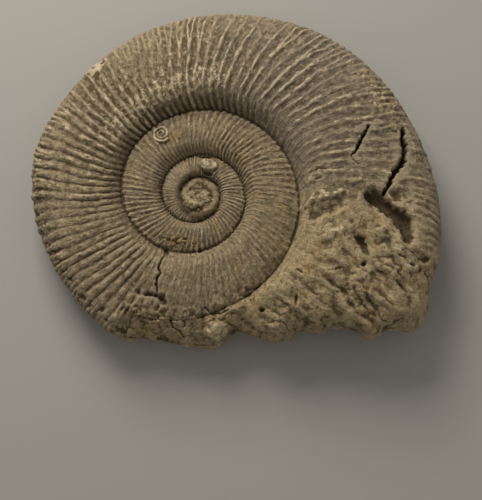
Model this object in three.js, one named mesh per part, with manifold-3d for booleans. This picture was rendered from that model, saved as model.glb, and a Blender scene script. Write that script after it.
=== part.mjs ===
// A fossil ammonite lying on its side, as one stone. Ribbed whorls coil clockwise round an open
// umbilicus, and lumpy rock fills the broken last part of the outer whorl. Millimetres, +Z up, with the
// origin under the middle of the stone on the surface that it lies on.
import * as THREE from "three";
import { mergeVertices } from "three/addons/utils/BufferGeometryUtils.js";
import Module from "manifold-3d";

const wasm = await Module();
wasm.setup();

const { clamp, lerp, smoothstep } = THREE.MathUtils;
const DEGREE = 1 / 360; // one degree, in turns

// Coiling. Turn 0 is at +X on the outer whorl, and turns grow clockwise seen from above, to the mouth.
// Positions on the stone are measured from the coil's axis.
const SEAM_RADIUS = 46.7; // umbilical seam of the outer whorl at turn 0
const GROWTH = 2.125; // radius of each whorl over that of the one inside it
const COIL_OFFSET = 0.039; // how far the coil is off centre, as a share of its radius
const COIL_OFFSET_TURN = 10.6 * DEGREE;
const COIL_OVAL = 0.0084;
const COIL_OVAL_TURN = -43 * DEGREE;
const HIDDEN_RIM = 2.3; // rim radius over seam radius, where the next whorl covers the rim
const COIL_START = -3.2;
const MOUTH = 0.323;
const UNCOVERED = MOUTH - 0.99; // from this turn on, no later whorl lies against the rim
const SEAM_DEPTH = 0.8; // of the groove between one whorl and the next
const SEAM_GAP = 0.985; // where the inner whorl stops, as a share of the next one's seam radius

// Outer edge of the outer whorl: the rim as far as turn 0.05, then the break through the rock.
const EDGE = [
  [-0.8, 58.5],
  [-0.72, 66.5],
  [-0.67, 72.8],
  [-0.62, 71.5],
  [-0.56, 72],
  [-0.5, 74.9],
  [-0.46, 76.8],
  [-0.4, 77],
  [-0.35, 79],
  [-0.28, 83.8],
  [-0.2, 90.4],
  [-0.15, 95.8],
  [-0.1, 99.8],
  [-0.05, 103.4],
  [0, 108.2],
  [0.03, 110.8],
  [0.047, 112.4],
  [0.06, 111.7],
  [0.08, 115.4],
  [0.09, 113.9],
  [0.1, 105.2],
  [0.11, 101],
  [0.116, 91],
  [0.124, 85.6],
  [0.134, 82.6],
  [0.143, 78],
  [0.155, 76.8],
  [0.168, 75.2],
  [0.18, 71.6],
  [0.19, 66.2],
  [0.2, 63.8],
  [0.215, 65],
  [0.23, 67.9],
  [0.26, 67.5],
  [0.3, 67.5],
  [0.325, 71.5],
  [0.36, 73.5],
];

// Rows of points across the coil, as shares of the way from seam to next seam, from there to the rim,
// and, underneath, from seam to rim
const FLANK_ROWS = [0.09, 0.24, 0.46, 0.74];
const INNER_ROWS = [0.15, 0.5];
const RIM_ROWS = [0.36, 0.7, 0.91];
const UNDER_ROWS = [0.94, 0.84, 0.54, 0.22];

// Whorl section
const HALF_THICKNESS = 18; // at turn 0
const THICKENING = 1.6; // per turn
const FLANK_TOP = 0.3; // where the flank stands highest, as a share of the way from seam to edge
const WALL_ROUND = 2.2; // exponents of the curve inside and outside the flank's top
const RIM_ROUND = 2.6;
const BREAK_ROUND = 5;
const LOW_BREAK_ROUND = 2.8;
const INNER_MIDDLE = 14.2; // height of the inner whorls' middle plane
const WORN_BASE = 0.8; // worn off the underside, which leaves the flats that the stone lies on
const WORN_FROM = -0.45; // turn at which the flats begin
const WORN_SHARE = 0.6; // how far the flats reach from the seam, as a share of the way to the rim
const SLOPE_STEP = 0.01; // share over which a section's slope is taken
const SEAM_SHARE_MOST = 0.97; // how near an inner whorl's rim its covering seam is laid

// Ribs
const RIB_HEIGHT = 1.9; // crest over groove on the outer whorl
const RIBS_PER_TURN = 89; // on the outer whorl
const RIB_TURN = -0.9; // inside this turn the ribs grow fewer
const RIB_GROWTH = 1.25;
const FIRST_RIB = -2.4; // the coil is smooth inside this turn
const SMOOTH_STEP = 1 / 30;
const WALL_SWEEP = 5 * DEGREE; // ribs swing back up the umbilical wall
const WALL_END = 0.2;
const FORWARD_SWEEP = 4.5 * DEGREE; // and forward across the flank
const FORWARD_BEND = 1.2;
const RIB_SHRINK = 0.75; // exponent by which the inner whorls' ribs are lower
const RIB_RISE = [0.02, 0.16]; // shares between which a rib comes up out of the seam
const RIM_WEAR = 0.3; // of a rib's height at the rim
const UNEVEN = 0.2; // of a rib's height, which varies along the coil in slow waves
const UNEVEN_WAVES = [9, 3]; // radians to a turn and to a share

// Rock at the mouth end: its top over the whorl's middle, as a share of the whorl's half thickness, and
// how far the top falls from the seam to the edge.
const ROCK_START = -0.02;
const ROCK_FULL = 0.03;
const ROCK_FADE = 0.02; // turns before its start at which the first lumps show
const ROCK_STEP = 1 / 115;
const LOW_ROCK = [0.14, 0.22]; // turns between which the rock drops to its low end
const ROCK_TOP = [
  [-0.1, 1],
  [0, 0.98],
  [0.06, 0.95],
  [0.11, 0.86],
  [0.16, 0.6],
  [0.2, 0.36],
  [0.25, 0.24],
  [0.36, 0.2],
];
const ROCK_FALL = [
  [0.05, 0],
  [0.12, 2],
  [0.17, 5],
  [0.22, 8],
  [0.36, 7],
];
const ROCK_LUMP = 2;
const ROCK_GRIT = 0.4;
const LUMP_RISE = 0.1; // share by which the lumps reach their height
const LUMP_ROUGHNESS = 0.1; // of a lump's or a cutter's size

// Rolling ground is the sum of products of two waves, each with its steepness along x and y and its start
const ROLLING = [
  { strength: 0.6, waves: [[0.31, 0.12, 1], [-0.14, 0.27, 2]] },
  { strength: 0.5, waves: [[0.66, -0.2, 0], [0.29, 0.58, 0.5]] },
];

// Rock in the umbilicus underneath: its edge on the outer whorl, as a share of the way from seam to rim,
// and rings inside that, as [radius, height]
const FILL_EDGE = 0.06;
const FILL_HEIGHT = 5.6;
const FILL_RINGS = [
  [26, 7.6],
  [13, 7],
];
const FILL_POINTS = 40;

// Hollows that broke or weathered into the top: middle, length, width, depth and direction of the length.
const HOLLOWS = [
  { x: 79, y: -4.5, length: 12, width: 10, depth: 9, turned: -30 },
  { x: 85.5, y: -11, length: 15, width: 7.5, depth: 9.5, turned: -48 },
  { x: 90, y: -18.5, length: 12, width: 7, depth: 7, turned: -65 },
  { x: 72.7, y: -26, length: 11.5, width: 7.5, depth: 4.5, turned: -55 },
  { x: 72.2, y: -35, length: 3.6, width: 2.8, depth: 3, turned: 40 },
  { x: 54.9, y: -10.8, length: 13, width: 8, depth: 2.6, turned: 15 },
  { x: 43.3, y: -49.7, length: 5.4, width: 2.4, depth: 2.2, turned: 80 },
  { x: 99, y: -32, length: 6, width: 4, depth: 2.4, turned: 10 },
  { x: -13.4, y: -28, length: 5.2, width: 4.2, depth: 3, turned: -40 },
  { x: -14.6, y: -48.8, length: 8.5, width: 3.6, depth: 4, turned: -45 },
  { x: -25.7, y: -51.8, length: 3.4, width: 2.8, depth: 2.4, turned: 0 },
  { x: 1.9, y: -26.4, length: 5, width: 2.4, depth: 2.4, turned: 35 },
  { x: 5.1, y: 13.9, length: 12, width: 8.4, depth: 2.4, turned: -8 },
];
const HOLLOW_LIFT = 0.15; // how far over the surface a hollow's cutter is centred, as a share of its depth
const LARGE_HOLLOW = 9; // from this length on, a hollow's walls have twice the facets along their edges

// Open cracks: points along each, its width at the middle and its depth.
const CRACKS = [
  {
    points: [[76.6, 28.4], [72.9, 21.5], [69.4, 15.2]],
    width: 1.5,
    depth: 4,
  },
  {
    points: [[92, 28.8], [91.8, 22.6], [92.5, 16.7], [90.7, 10.7], [87.1, 7.2], [85, 2.3], [82, -4.1]],
    width: 2.2,
    depth: 7,
  },
  {
    points: [[-13.5, -28], [-15.6, -32], [-16.4, -36], [-15.9, -38.5], [-17.4, -42.5], [-17.2, -46]],
    width: 1.3,
    depth: 3,
  },
  {
    points: [[-16.8, -45.4], [-20, -45.2], [-22.6, -46], [-24.6, -48]],
    width: 1.4,
    depth: 2.6,
  },
];

const CRACK_TIP = 0.15; // half the width at a crack's ends, as a share of its width
const CRACK_OVER = 4; // how far a crack's cutter stands over the surface

// Lumps that stand on the stone: middle, half sizes, and how far each stands proud.
const LUMPS = [
  { x: 5.1, y: 13.9, reach: [4.4, 2.7, 2.6], proud: 0.6, turned: -8 },
  { x: 9, y: -61, reach: [8, 4.6, 9], proud: -2.5, turned: 12 },
  { x: 35, y: -59, reach: [8, 5, 10], proud: -4, turned: 20 },
];
const NUCLEUS = { reach: [9.5, 8.2, 6.4], height: 14, turned: 20 };

// A small worm tube, coiled flat on the shell
const WORM = { x: -16.2, y: 28, turns: 1.6, reach: 3.2, narrowing: 0.75, tube: 0.7, sides: 4, steps: 16 };

// A smooth curve through [place, value] pairs, held level past its ends.
function curveThrough(pairs) {
  const places = pairs.map((pair) => pair[0]);
  const values = pairs.map((pair) => pair[1]);
  const curve = new THREE.CubicInterpolant(places, values, 1, new Float64Array(1));
  return (place) => curve.evaluate(clamp(place, places[0], places.at(-1)))[0];
}

const edgeRadius = curveThrough(EDGE);
const rockTop = curveThrough(ROCK_TOP);
const rockFall = curveThrough(ROCK_FALL);

// A repeatable scatter from -1 to 1 for whole numbers a and b.
function scatter(a, b) {
  const wave = Math.sin(a * 127.1 + b * 311.7) * 43758.5453;
  return 2 * (wave - Math.floor(wave)) - 1;
}

// Rolling ground from about -1 to 1, over a few centimetres.
function rolling(x, y) {
  const wave = ([alongX, alongY, start]) => Math.sin(alongX * x + alongY * y + start);
  return ROLLING.reduce((sum, { strength, waves }) => sum + strength * wave(waves[0]) * wave(waves[1]), 0);
}

function seamRadius(turn) {
  const offset = COIL_OFFSET * Math.cos(2 * Math.PI * (turn - COIL_OFFSET_TURN));
  const oval = COIL_OVAL * Math.cos(4 * Math.PI * turn - 2 * Math.PI * COIL_OVAL_TURN);
  return SEAM_RADIUS * GROWTH ** turn * (1 - offset + oval);
}

function rimRadius(turn) {
  const hidden = HIDDEN_RIM * seamRadius(turn);
  return lerp(hidden, edgeRadius(turn), smoothstep(turn, EDGE[0][0], EDGE[2][0]));
}

function halfThickness(turn) {
  return HALF_THICKNESS * THICKENING ** turn;
}

// The outer whorl's underside lies along the ground, so its middle plane climbs as the whorl thickens.
function middleHeight(turn) {
  return Math.max(halfThickness(turn) - WORN_BASE, INNER_MIDDLE);
}

function rockShare(turn) {
  return smoothstep(turn, ROCK_START, ROCK_FULL);
}

// Height of the flank over the middle plane at share u of the way from seam to edge. Side is 1 on top
// and -1 underneath.
function flankHeight(turn, u, side) {
  const rock = rockShare(turn);
  const low = side < 0 ? 1 : smoothstep(turn, ...LOW_ROCK);
  const rimRound = lerp(RIM_ROUND, lerp(BREAK_ROUND, LOW_BREAK_ROUND, low), rock);
  const [reach, power] = u < FLANK_TOP ? [FLANK_TOP, WALL_ROUND] : [1 - FLANK_TOP, rimRound];
  const swell = Math.sqrt(Math.max(0, 1 - (Math.abs(u - FLANK_TOP) / reach) ** power));
  const share = side > 0 ? lerp(1, rockTop(turn), rock) : 1;
  return side * halfThickness(turn) * share * swell - rock * rockFall(turn) * u;
}

// Turns by which a rib's line runs ahead of its foot.
function sweep(u) {
  return WALL_SWEEP * Math.max(0, 1 - u / WALL_END) ** 2 + FORWARD_SWEEP * u ** FORWARD_BEND;
}

// A point of the coil's surface, raised square to it and held above the ground.
function surfacePoint(turn, u, side, raise) {
  const width = rimRadius(turn) - seamRadius(turn);
  const low = Math.max(0, u - SLOPE_STEP);
  const high = Math.min(1, u + SLOPE_STEP);
  const rise = flankHeight(turn, high, side) - flankHeight(turn, low, side);
  const along = new THREE.Vector2((high - low) * width, rise).normalize();
  const radius = seamRadius(turn) + u * width - side * along.y * raise;
  const height = middleHeight(turn) + flankHeight(turn, u, side) + side * along.x * raise;
  return around(turn, radius, Math.max(0, height));
}

function around(turn, radius, height) {
  const angle = 2 * Math.PI * turn;
  return new THREE.Vector3(radius * Math.cos(angle), -radius * Math.sin(angle), height);
}

// A point in the groove between a whorl and the one inside it.
function seamPoint(turn) {
  const inner = turn - 1;
  const radius = seamRadius(turn);
  const u = (radius - seamRadius(inner)) / (rimRadius(inner) - seamRadius(inner));
  const height = middleHeight(inner) + flankHeight(inner, Math.min(u, SEAM_SHARE_MOST), 1) - SEAM_DEPTH;
  return around(turn, radius, height);
}

// Where the next whorl's seam crosses a flank, as a share of the way from seam to rim. Past the mouth
// there is no such seam, and the share holds.
function nextSeamShare(turn) {
  const place = Math.min(turn, UNCOVERED);
  const reach = SEAM_GAP * seamRadius(place + 1) - seamRadius(place);
  return reach / (rimRadius(place) - seamRadius(place));
}

// Height of the stone's top over a place, without its ribs and lumps.
function topOver(x, y) {
  const radius = Math.hypot(x, y);
  const part = -Math.atan2(y, x) / (2 * Math.PI);
  let turn = part + Math.floor(MOUTH - part);
  while (seamRadius(turn) > radius && turn > COIL_START) turn -= 1;
  const u = clamp((radius - seamRadius(turn)) / (rimRadius(turn) - seamRadius(turn)), 0, 1);
  return middleHeight(turn) + flankHeight(turn, u, 1);
}

// The turn at which a number of ribs has been reached, counted from the coil's start.
function turnOfRib(count) {
  const rate = Math.log(RIB_GROWTH);
  const inner = RIBS_PER_TURN / rate;
  if (count > inner) return RIB_TURN + (count - inner) / RIBS_PER_TURN;
  return RIB_TURN + Math.log(count / inner) / rate;
}

// The coil's sections in order: one on each crest and one in each groove, then evenly along the rock.
function sectionList() {
  const sections = [];
  for (let turn = COIL_START; turn < FIRST_RIB; turn += SMOOTH_STEP) {
    sections.push({ turn, crest: 0 });
  }
  for (let half = 1; turnOfRib(half / 2) < ROCK_START; half += 1) {
    const turn = turnOfRib(half / 2);
    if (turn > FIRST_RIB) sections.push({ turn, crest: half % 2 ? 0.5 : -0.5 });
  }
  for (let turn = ROCK_START; turn < MOUTH; turn += ROCK_STEP) sections.push({ turn, crest: 0 });
  return sections;
}

// How far the surface stands off its smooth form: ribs on the shell, lumps on the rock.
function raiseOf(section, turn, u, side) {
  const size = Math.min(1, (seamRadius(turn) / SEAM_RADIUS) ** RIB_SHRINK);
  const shown = smoothstep(u, ...RIB_RISE) * (1 - RIM_WEAR * u ** 4);
  const worn = 1 - UNEVEN + UNEVEN * Math.sin(UNEVEN_WAVES[0] * turn + UNEVEN_WAVES[1] * u);
  const rib = RIB_HEIGHT * size * worn * shown * section.crest;
  const place = around(turn, lerp(seamRadius(turn), rimRadius(turn), u), 0);
  const grit = scatter(Math.round(section.turn * 1000), Math.round(20 * u) * side);
  const lump = ROCK_LUMP * rolling(place.x, place.y) + ROCK_GRIT * grit;
  return rib + lump * smoothstep(turn, ROCK_START - ROCK_FADE, ROCK_FULL) * smoothstep(u, 0, LUMP_RISE);
}

// The coil's surface, as points and faces. A line is a list of points, each with a key that says how far
// along the line it is.
class CoilSurface {
  points = [];
  faces = [];

  add(point, key) {
    return { id: this.points.push(point) - 1, key };
  }

  // A strip of triangles between two lines.
  bridge(a, b) {
    let p = 0;
    let q = 0;
    while (p + 1 < a.length || q + 1 < b.length) {
      const alongB = p + 1 === a.length || (q + 1 < b.length && b[q + 1].key <= a[p + 1].key);
      this.faces.push(a[p].id, b[q].id, alongB ? b[q + 1].id : a[p + 1].id);
      if (alongB) q += 1;
      else p += 1;
    }
  }

  // A fan of triangles from a centre to a closed line.
  fan(centre, line) {
    line.forEach((point, k) => {
      this.faces.push(centre.id, point.id, line[(k + 1) % line.length].id);
    });
  }

  // A section's line over the flank: from its own seam to the next one, keys 0 to 1.
  flankLine(section) {
    const across = nextSeamShare(section.turn);
    const rows = section.turn < UNCOVERED - 1 ? INNER_ROWS : FLANK_ROWS;
    const start = this.add(seamPoint(section.turn + sweep(0)), 0);
    return [start, ...[...rows, 1].map((row) => this.sectionPoint(section, row * across, 1, row))];
  }

  // The rest of an uncovered section: over the rim and back underneath, keys 1 to 3.
  rimLine(section) {
    const across = nextSeamShare(section.turn);
    return [
      ...RIM_ROWS.map((row) => this.sectionPoint(section, lerp(across, 1, row), 1, 1 + row)),
      this.sectionPoint(section, 1, 1, 2),
      ...UNDER_ROWS.map((row) => this.sectionPoint(section, row, -1, 3 - row)),
    ];
  }

  sectionPoint(section, u, side, key) {
    const turn = section.turn + sweep(u);
    const worn = side < 0 && u < WORN_SHARE && section.turn > WORN_FROM;
    const raise = worn ? 0 : raiseOf(section, turn, u, side);
    return this.add(surfacePoint(turn, u, side, raise), key);
  }

  // The whole coil, closed with a fan in the middle and with rock underneath.
  build() {
    const sections = sectionList();
    const open = sections.findIndex((section) => section.turn > UNCOVERED);
    const flanks = sections.map((section) => this.flankLine(section));
    const rims = sections.slice(open).map((section) => this.rimLine(section));
    const lines = flanks.map((flank, k) => (k < open ? flank : [...flank, ...rims[k - open]]));
    for (let k = 0; k + 1 < lines.length; k += 1) {
      if (k + 1 === open) this.bridge(flanks[k], flanks[k + 1]);
      else this.bridge(lines[k], lines[k + 1]);
    }

    const ends = flanks.slice(0, open + 1).map((flank, k) => {
      const turn = sections[k].turn + sweep(nextSeamShare(sections[k].turn));
      return { id: flank.at(-1).id, key: turn + 1 };
    });
    const seams = flanks.map((flank, k) => ({ id: flank[0].id, key: sections[k].turn + sweep(0) }));
    const first = seams.findIndex((seam) => seam.key > ends[0].key);
    this.bridge(seams.slice(first), ends);

    const middle = this.add(new THREE.Vector3(0, 0, INNER_MIDDLE), 0);
    const inside = [...seams.slice(0, first + 1), ...flanks[0].slice(1).reverse()];
    this.fan(middle, inside.reverse());

    // The mouth closes on the first uncovered section's outer line, whose keys are spread from 1 to 3
    // over the mouth's own 0 to 3
    const beyond = [flanks[open].at(-1), ...rims[0]];
    this.bridge(lines.at(-1), beyond.map(({ id, key }) => ({ id, key: ((key - 1) * 3) / 2 })));
    this.fillUnder(sections.slice(open), rims);
    return solidOf(new THREE.BufferGeometry().setFromPoints(this.points).setIndex(this.faces));
  }

  fillUnder(sections, rims) {
    const foot = rims.map((rim, k) => ({ id: rim.at(-1).id, key: sections[k].turn }));
    let outer = [...foot, { id: foot[0].id, key: foot[0].key + 1 }];
    const edge = (turn) => lerp(seamRadius(turn), rimRadius(turn), FILL_EDGE);
    const rings = FILL_RINGS.map(([radius, height]) => [() => radius, height]);
    for (const [radiusAt, height] of [[edge, FILL_HEIGHT], ...rings]) {
      const ring = Array.from({ length: FILL_POINTS }, (_, k) => {
        const turn = foot[0].key + k / FILL_POINTS;
        const place = around(turn, radiusAt(turn), height);
        place.z += rolling(place.x, place.y) + ROCK_GRIT * scatter(height, k);
        return this.add(place, turn);
      });
      const closed = [...ring, { id: ring[0].id, key: ring[0].key + 1 }];
      this.bridge(closed, outer);
      outer = closed;
    }
    const middle = this.add(new THREE.Vector3(0, 0, FILL_RINGS.at(-1)[1]), 0);
    this.fan(middle, outer.slice(0, -1));
  }
}

// A closed geometry as a solid that can be joined and cut.
function solidOf(geometry) {
  const bare = geometry.clone();
  bare.deleteAttribute("normal");
  bare.deleteAttribute("uv");
  const merged = mergeVertices(bare, 1e-4);
  const made = new wasm.Manifold(
    new wasm.Mesh({
      numProp: 3,
      vertProperties: Float32Array.from(merged.attributes.position.array),
      triVerts: Uint32Array.from(merged.index.array),
    }),
  );
  if (made.volume() < 0) throw new Error("a piece is inside out");
  return made;
}

// A rounded, slightly broken lump at a place, turned about the vertical and flat on the ground.
function lumpSolid(place, reach, turned, detail) {
  const lump = new THREE.IcosahedronGeometry(1, detail);
  const position = lump.attributes.position;
  const point = new THREE.Vector3();
  for (let k = 0; k < position.count; k += 1) {
    point.fromBufferAttribute(position, k);
    const spot = Math.round(50 * point.x) + 7 * Math.round(50 * point.y);
    point.multiplyScalar(1 + LUMP_ROUGHNESS * scatter(spot, Math.round(50 * point.z)));
    const low = -place[2] / reach[2];
    position.setXYZ(k, point.x, point.y, Math.max(low, point.z));
  }
  lump.scale(...reach);
  lump.rotateZ((turned * Math.PI) / 180);
  lump.translate(...place);
  return solidOf(lump);
}

// A hollow's cutter stands half out of the surface, so that its walls are steep at the edge.
function hollowSolid({ x, y, length, width, depth, turned }) {
  const place = [x, y, topOver(x, y) + HOLLOW_LIFT * depth];
  const reach = [length / 2, width / 2, (1 + HOLLOW_LIFT) * depth];
  return lumpSolid(place, reach, turned, length > LARGE_HOLLOW ? 1 : 0);
}

// A crack's cutter: a thin upright sheet that narrows to nothing at its ends.
function crackSolid({ points, width, depth }) {
  const line = points.map(([x, y]) => new THREE.Vector2(x, y));
  const sides = line.map((point, k) => {
    const along = line[Math.min(k + 1, line.length - 1)].clone().sub(line[Math.max(k - 1, 0)]);
    const share = Math.min(k, line.length - 1 - k) > 0 ? 1 / 2 : CRACK_TIP;
    const out = new THREE.Vector2(-along.y, along.x).setLength(width * share);
    return [point.clone().add(out), point.clone().sub(out)];
  });
  const outline = [...sides.map((pair) => pair[1]), ...sides.map((pair) => pair[0]).reverse()];
  const heights = points.map(([x, y]) => topOver(x, y));
  const bottom = Math.min(...heights) - depth;
  const sheet = new THREE.ExtrudeGeometry(new THREE.Shape(outline), {
    depth: Math.max(...heights) + CRACK_OVER - bottom,
    bevelEnabled: false,
  });
  return solidOf(sheet.translate(0, 0, bottom));
}

class WormCoil extends THREE.Curve {
  getPoint(share, target = new THREE.Vector3()) {
    const angle = 2 * Math.PI * WORM.turns * share;
    const radius = WORM.reach * (1 - WORM.narrowing * share);
    const x = WORM.x + radius * Math.cos(angle);
    const y = WORM.y + radius * Math.sin(angle);
    return target.set(x, y, topOver(x, y) + WORM.tube / 2);
  }
}

function wormTube() {
  const corners = Array.from({ length: WORM.sides }, (_, k) => {
    const angle = (2 * Math.PI * k) / WORM.sides;
    return new THREE.Vector2(WORM.tube * Math.cos(angle), WORM.tube * Math.sin(angle));
  });
  const settings = { steps: WORM.steps, extrudePath: new WormCoil(), bevelEnabled: false };
  return solidOf(new THREE.ExtrudeGeometry(new THREE.Shape(corners), settings));
}

function ammoniteSolid() {
  let stone = new CoilSurface().build();
  stone = stone.add(lumpSolid([0, 0, NUCLEUS.height], NUCLEUS.reach, NUCLEUS.turned, 2));
  for (const hollow of HOLLOWS) stone = stone.subtract(hollowSolid(hollow));
  for (const crack of CRACKS) stone = stone.subtract(crackSolid(crack));
  for (const { x, y, reach, proud, turned } of LUMPS) {
    const place = [x, y, topOver(x, y) + proud - reach[2]];
    stone = stone.add(lumpSolid(place, reach, turned, 1));
  }
  return stone.add(wormTube());
}

const result = ammoniteSolid().getMesh();
const geometry = new THREE.BufferGeometry()
  .setAttribute("position", new THREE.BufferAttribute(result.vertProperties, 3))
  .setIndex(new THREE.BufferAttribute(result.triVerts, 1));
geometry.computeVertexNormals();
geometry.computeBoundingBox();

const limestone = new THREE.MeshStandardMaterial({
  color: 0x8a7a5e,
  roughness: 0.9,
  metalness: 0,
  flatShading: true,
});
const ammonite = new THREE.Mesh(geometry, limestone);
ammonite.name = "ammonite";
const { min, max } = geometry.boundingBox;
ammonite.position.set(-(min.x + max.x) / 2, -(min.y + max.y) / 2, -min.z);

const group = new THREE.Group();
group.add(ammonite);
export default group;
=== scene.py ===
"""A fossil ammonite lying on its side: the stone's surface, its finish, a plain floor, light and a camera.

The stone is one piece. Its skin is a set of grid sheets laid along the coil and welded into one closed
mesh, which is then carved: ribs, seams, cracks, broken hollows, rock and grain. All sizes are in
millimetres, measured from the coil's axis, until a mesh is written, which is in metres.
"""

from __future__ import annotations

import logging
import math
from dataclasses import dataclass, field
from itertools import product

import bpy
import numpy as np
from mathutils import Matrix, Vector

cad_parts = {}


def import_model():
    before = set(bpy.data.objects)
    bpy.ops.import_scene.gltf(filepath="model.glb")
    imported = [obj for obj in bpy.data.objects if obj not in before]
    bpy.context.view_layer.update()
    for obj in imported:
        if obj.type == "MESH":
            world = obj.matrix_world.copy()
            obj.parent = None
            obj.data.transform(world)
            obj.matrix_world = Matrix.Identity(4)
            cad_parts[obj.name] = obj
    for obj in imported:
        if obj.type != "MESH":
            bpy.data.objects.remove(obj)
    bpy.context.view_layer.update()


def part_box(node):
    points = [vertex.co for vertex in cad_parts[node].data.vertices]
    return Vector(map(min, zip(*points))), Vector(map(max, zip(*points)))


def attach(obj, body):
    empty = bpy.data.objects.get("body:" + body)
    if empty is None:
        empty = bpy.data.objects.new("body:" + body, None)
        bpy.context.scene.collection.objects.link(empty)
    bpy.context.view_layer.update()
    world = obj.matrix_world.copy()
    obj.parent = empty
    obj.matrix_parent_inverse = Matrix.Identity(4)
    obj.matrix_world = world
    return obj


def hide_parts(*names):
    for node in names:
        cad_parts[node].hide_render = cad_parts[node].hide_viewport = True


LOG = logging.getLogger("ammonite")

MILLIMETRE = 0.001
TAU = 2 * math.pi
DEGREE = 1 / 360  # one degree, in turns
COIL_AXIS = (-17.48, -9.57)  # the coil's axis, from the middle of the stone's footprint

Array = np.ndarray
Pair = tuple[float, float]  # a span's two ends, or two sizes
Pairs = tuple[Pair, ...]
Size = float | tuple[float, float, float]
Sheet = tuple[Array, Array, Array]  # radii, turns and heights, as rows of columns
Colour = tuple[float, float, float]
Socket = bpy.types.NodeSocket
Value = Socket | Colour | float


def smoothstep(value: Array, low: float, high: float) -> Array:
    """Rises smoothly from 0 at low to 1 at high."""
    part = np.clip((value - low) / (high - low), 0, 1)
    return part * part * (3 - 2 * part)


def between(value: Array, rise: Pair, fall: Pair) -> Array:
    """Rises smoothly from 0 to 1 over one span and falls back to 0 over another."""
    return smoothstep(value, *rise) * (1 - smoothstep(value, *fall))


def hump(away: Array, reach: float) -> Array:
    """A soft hump, 1 where away is 0 and almost 0 at twice the reach."""
    return np.exp(-((away / reach) ** 2))


def blend(low: Array | float, high: Array | float, share: Array | float) -> Array:
    """Goes straight from low at share 0 to high at share 1."""
    return low + (high - low) * share


def turned(x: Array, y: Array, degrees: float) -> tuple[Array, Array]:
    """Gives how far places lie along and across a line turned anticlockwise from +X."""
    angle = math.radians(degrees)
    return x * math.cos(angle) + y * math.sin(angle), y * math.cos(angle) - x * math.sin(angle)


def read_points(thing: bpy.types.Object) -> Array:
    """Reads a mesh's points.

    Args:
        thing: The mesh's object.

    Returns:
        The points, one a row.
    """
    points = np.empty(3 * len(thing.data.vertices))
    thing.data.vertices.foreach_get("co", points)
    return points.reshape(-1, 3)


def read_normals(thing: bpy.types.Object) -> Array:
    """Reads which way a mesh faces.

    Args:
        thing: The mesh's object.

    Returns:
        The direction out of the mesh at each point, one a row.
    """
    normals = np.empty(3 * len(thing.data.vertices))
    thing.data.vertex_normals.foreach_get("vector", normals)
    return normals.reshape(-1, 3)


def move_points(thing: bpy.types.Object, points: Array) -> None:
    """Moves a mesh's points to new places, one a row, in metres."""
    thing.data.vertices.foreach_set("co", points.astype(np.float32).ravel())
    thing.data.update()


def keep_value(thing: bpy.types.Object, name: str, value: Array) -> None:
    """Keeps a value for each point on a mesh, for its material to read."""
    attribute = thing.data.attributes.new(name, "FLOAT", "POINT")
    attribute.data.foreach_set("value", value.astype(np.float32))


@dataclass(frozen=True)
class SmoothCurve:
    """A smooth curve through pairs of place and value, held level past its ends."""

    pairs: Pairs

    def __call__(self, place: Array) -> Array:
        """Gives the curve's values.

        Args:
            place: Where to read the curve.

        Returns:
            One value for each place.
        """
        places, values = np.array(self.pairs).T
        secants = np.diff(values) / np.diff(places)
        inner_slopes = (secants[1:] + secants[:-1]) / 2
        slopes = np.concatenate([secants[:1], inner_slopes, secants[-1:]])
        place = np.clip(place, places[0], places[-1])
        k = np.clip(np.searchsorted(places, place) - 1, 0, len(secants) - 1)
        width = places[k + 1] - places[k]
        part = (place - places[k]) / width
        rise = values[k + 1] - values[k]
        start = width * slopes[k]
        bend = 3 * rise - 2 * start - width * slopes[k + 1]
        twist = start + width * slopes[k + 1] - 2 * rise
        return values[k] + part * (start + part * (bend + part * twist))


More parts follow.
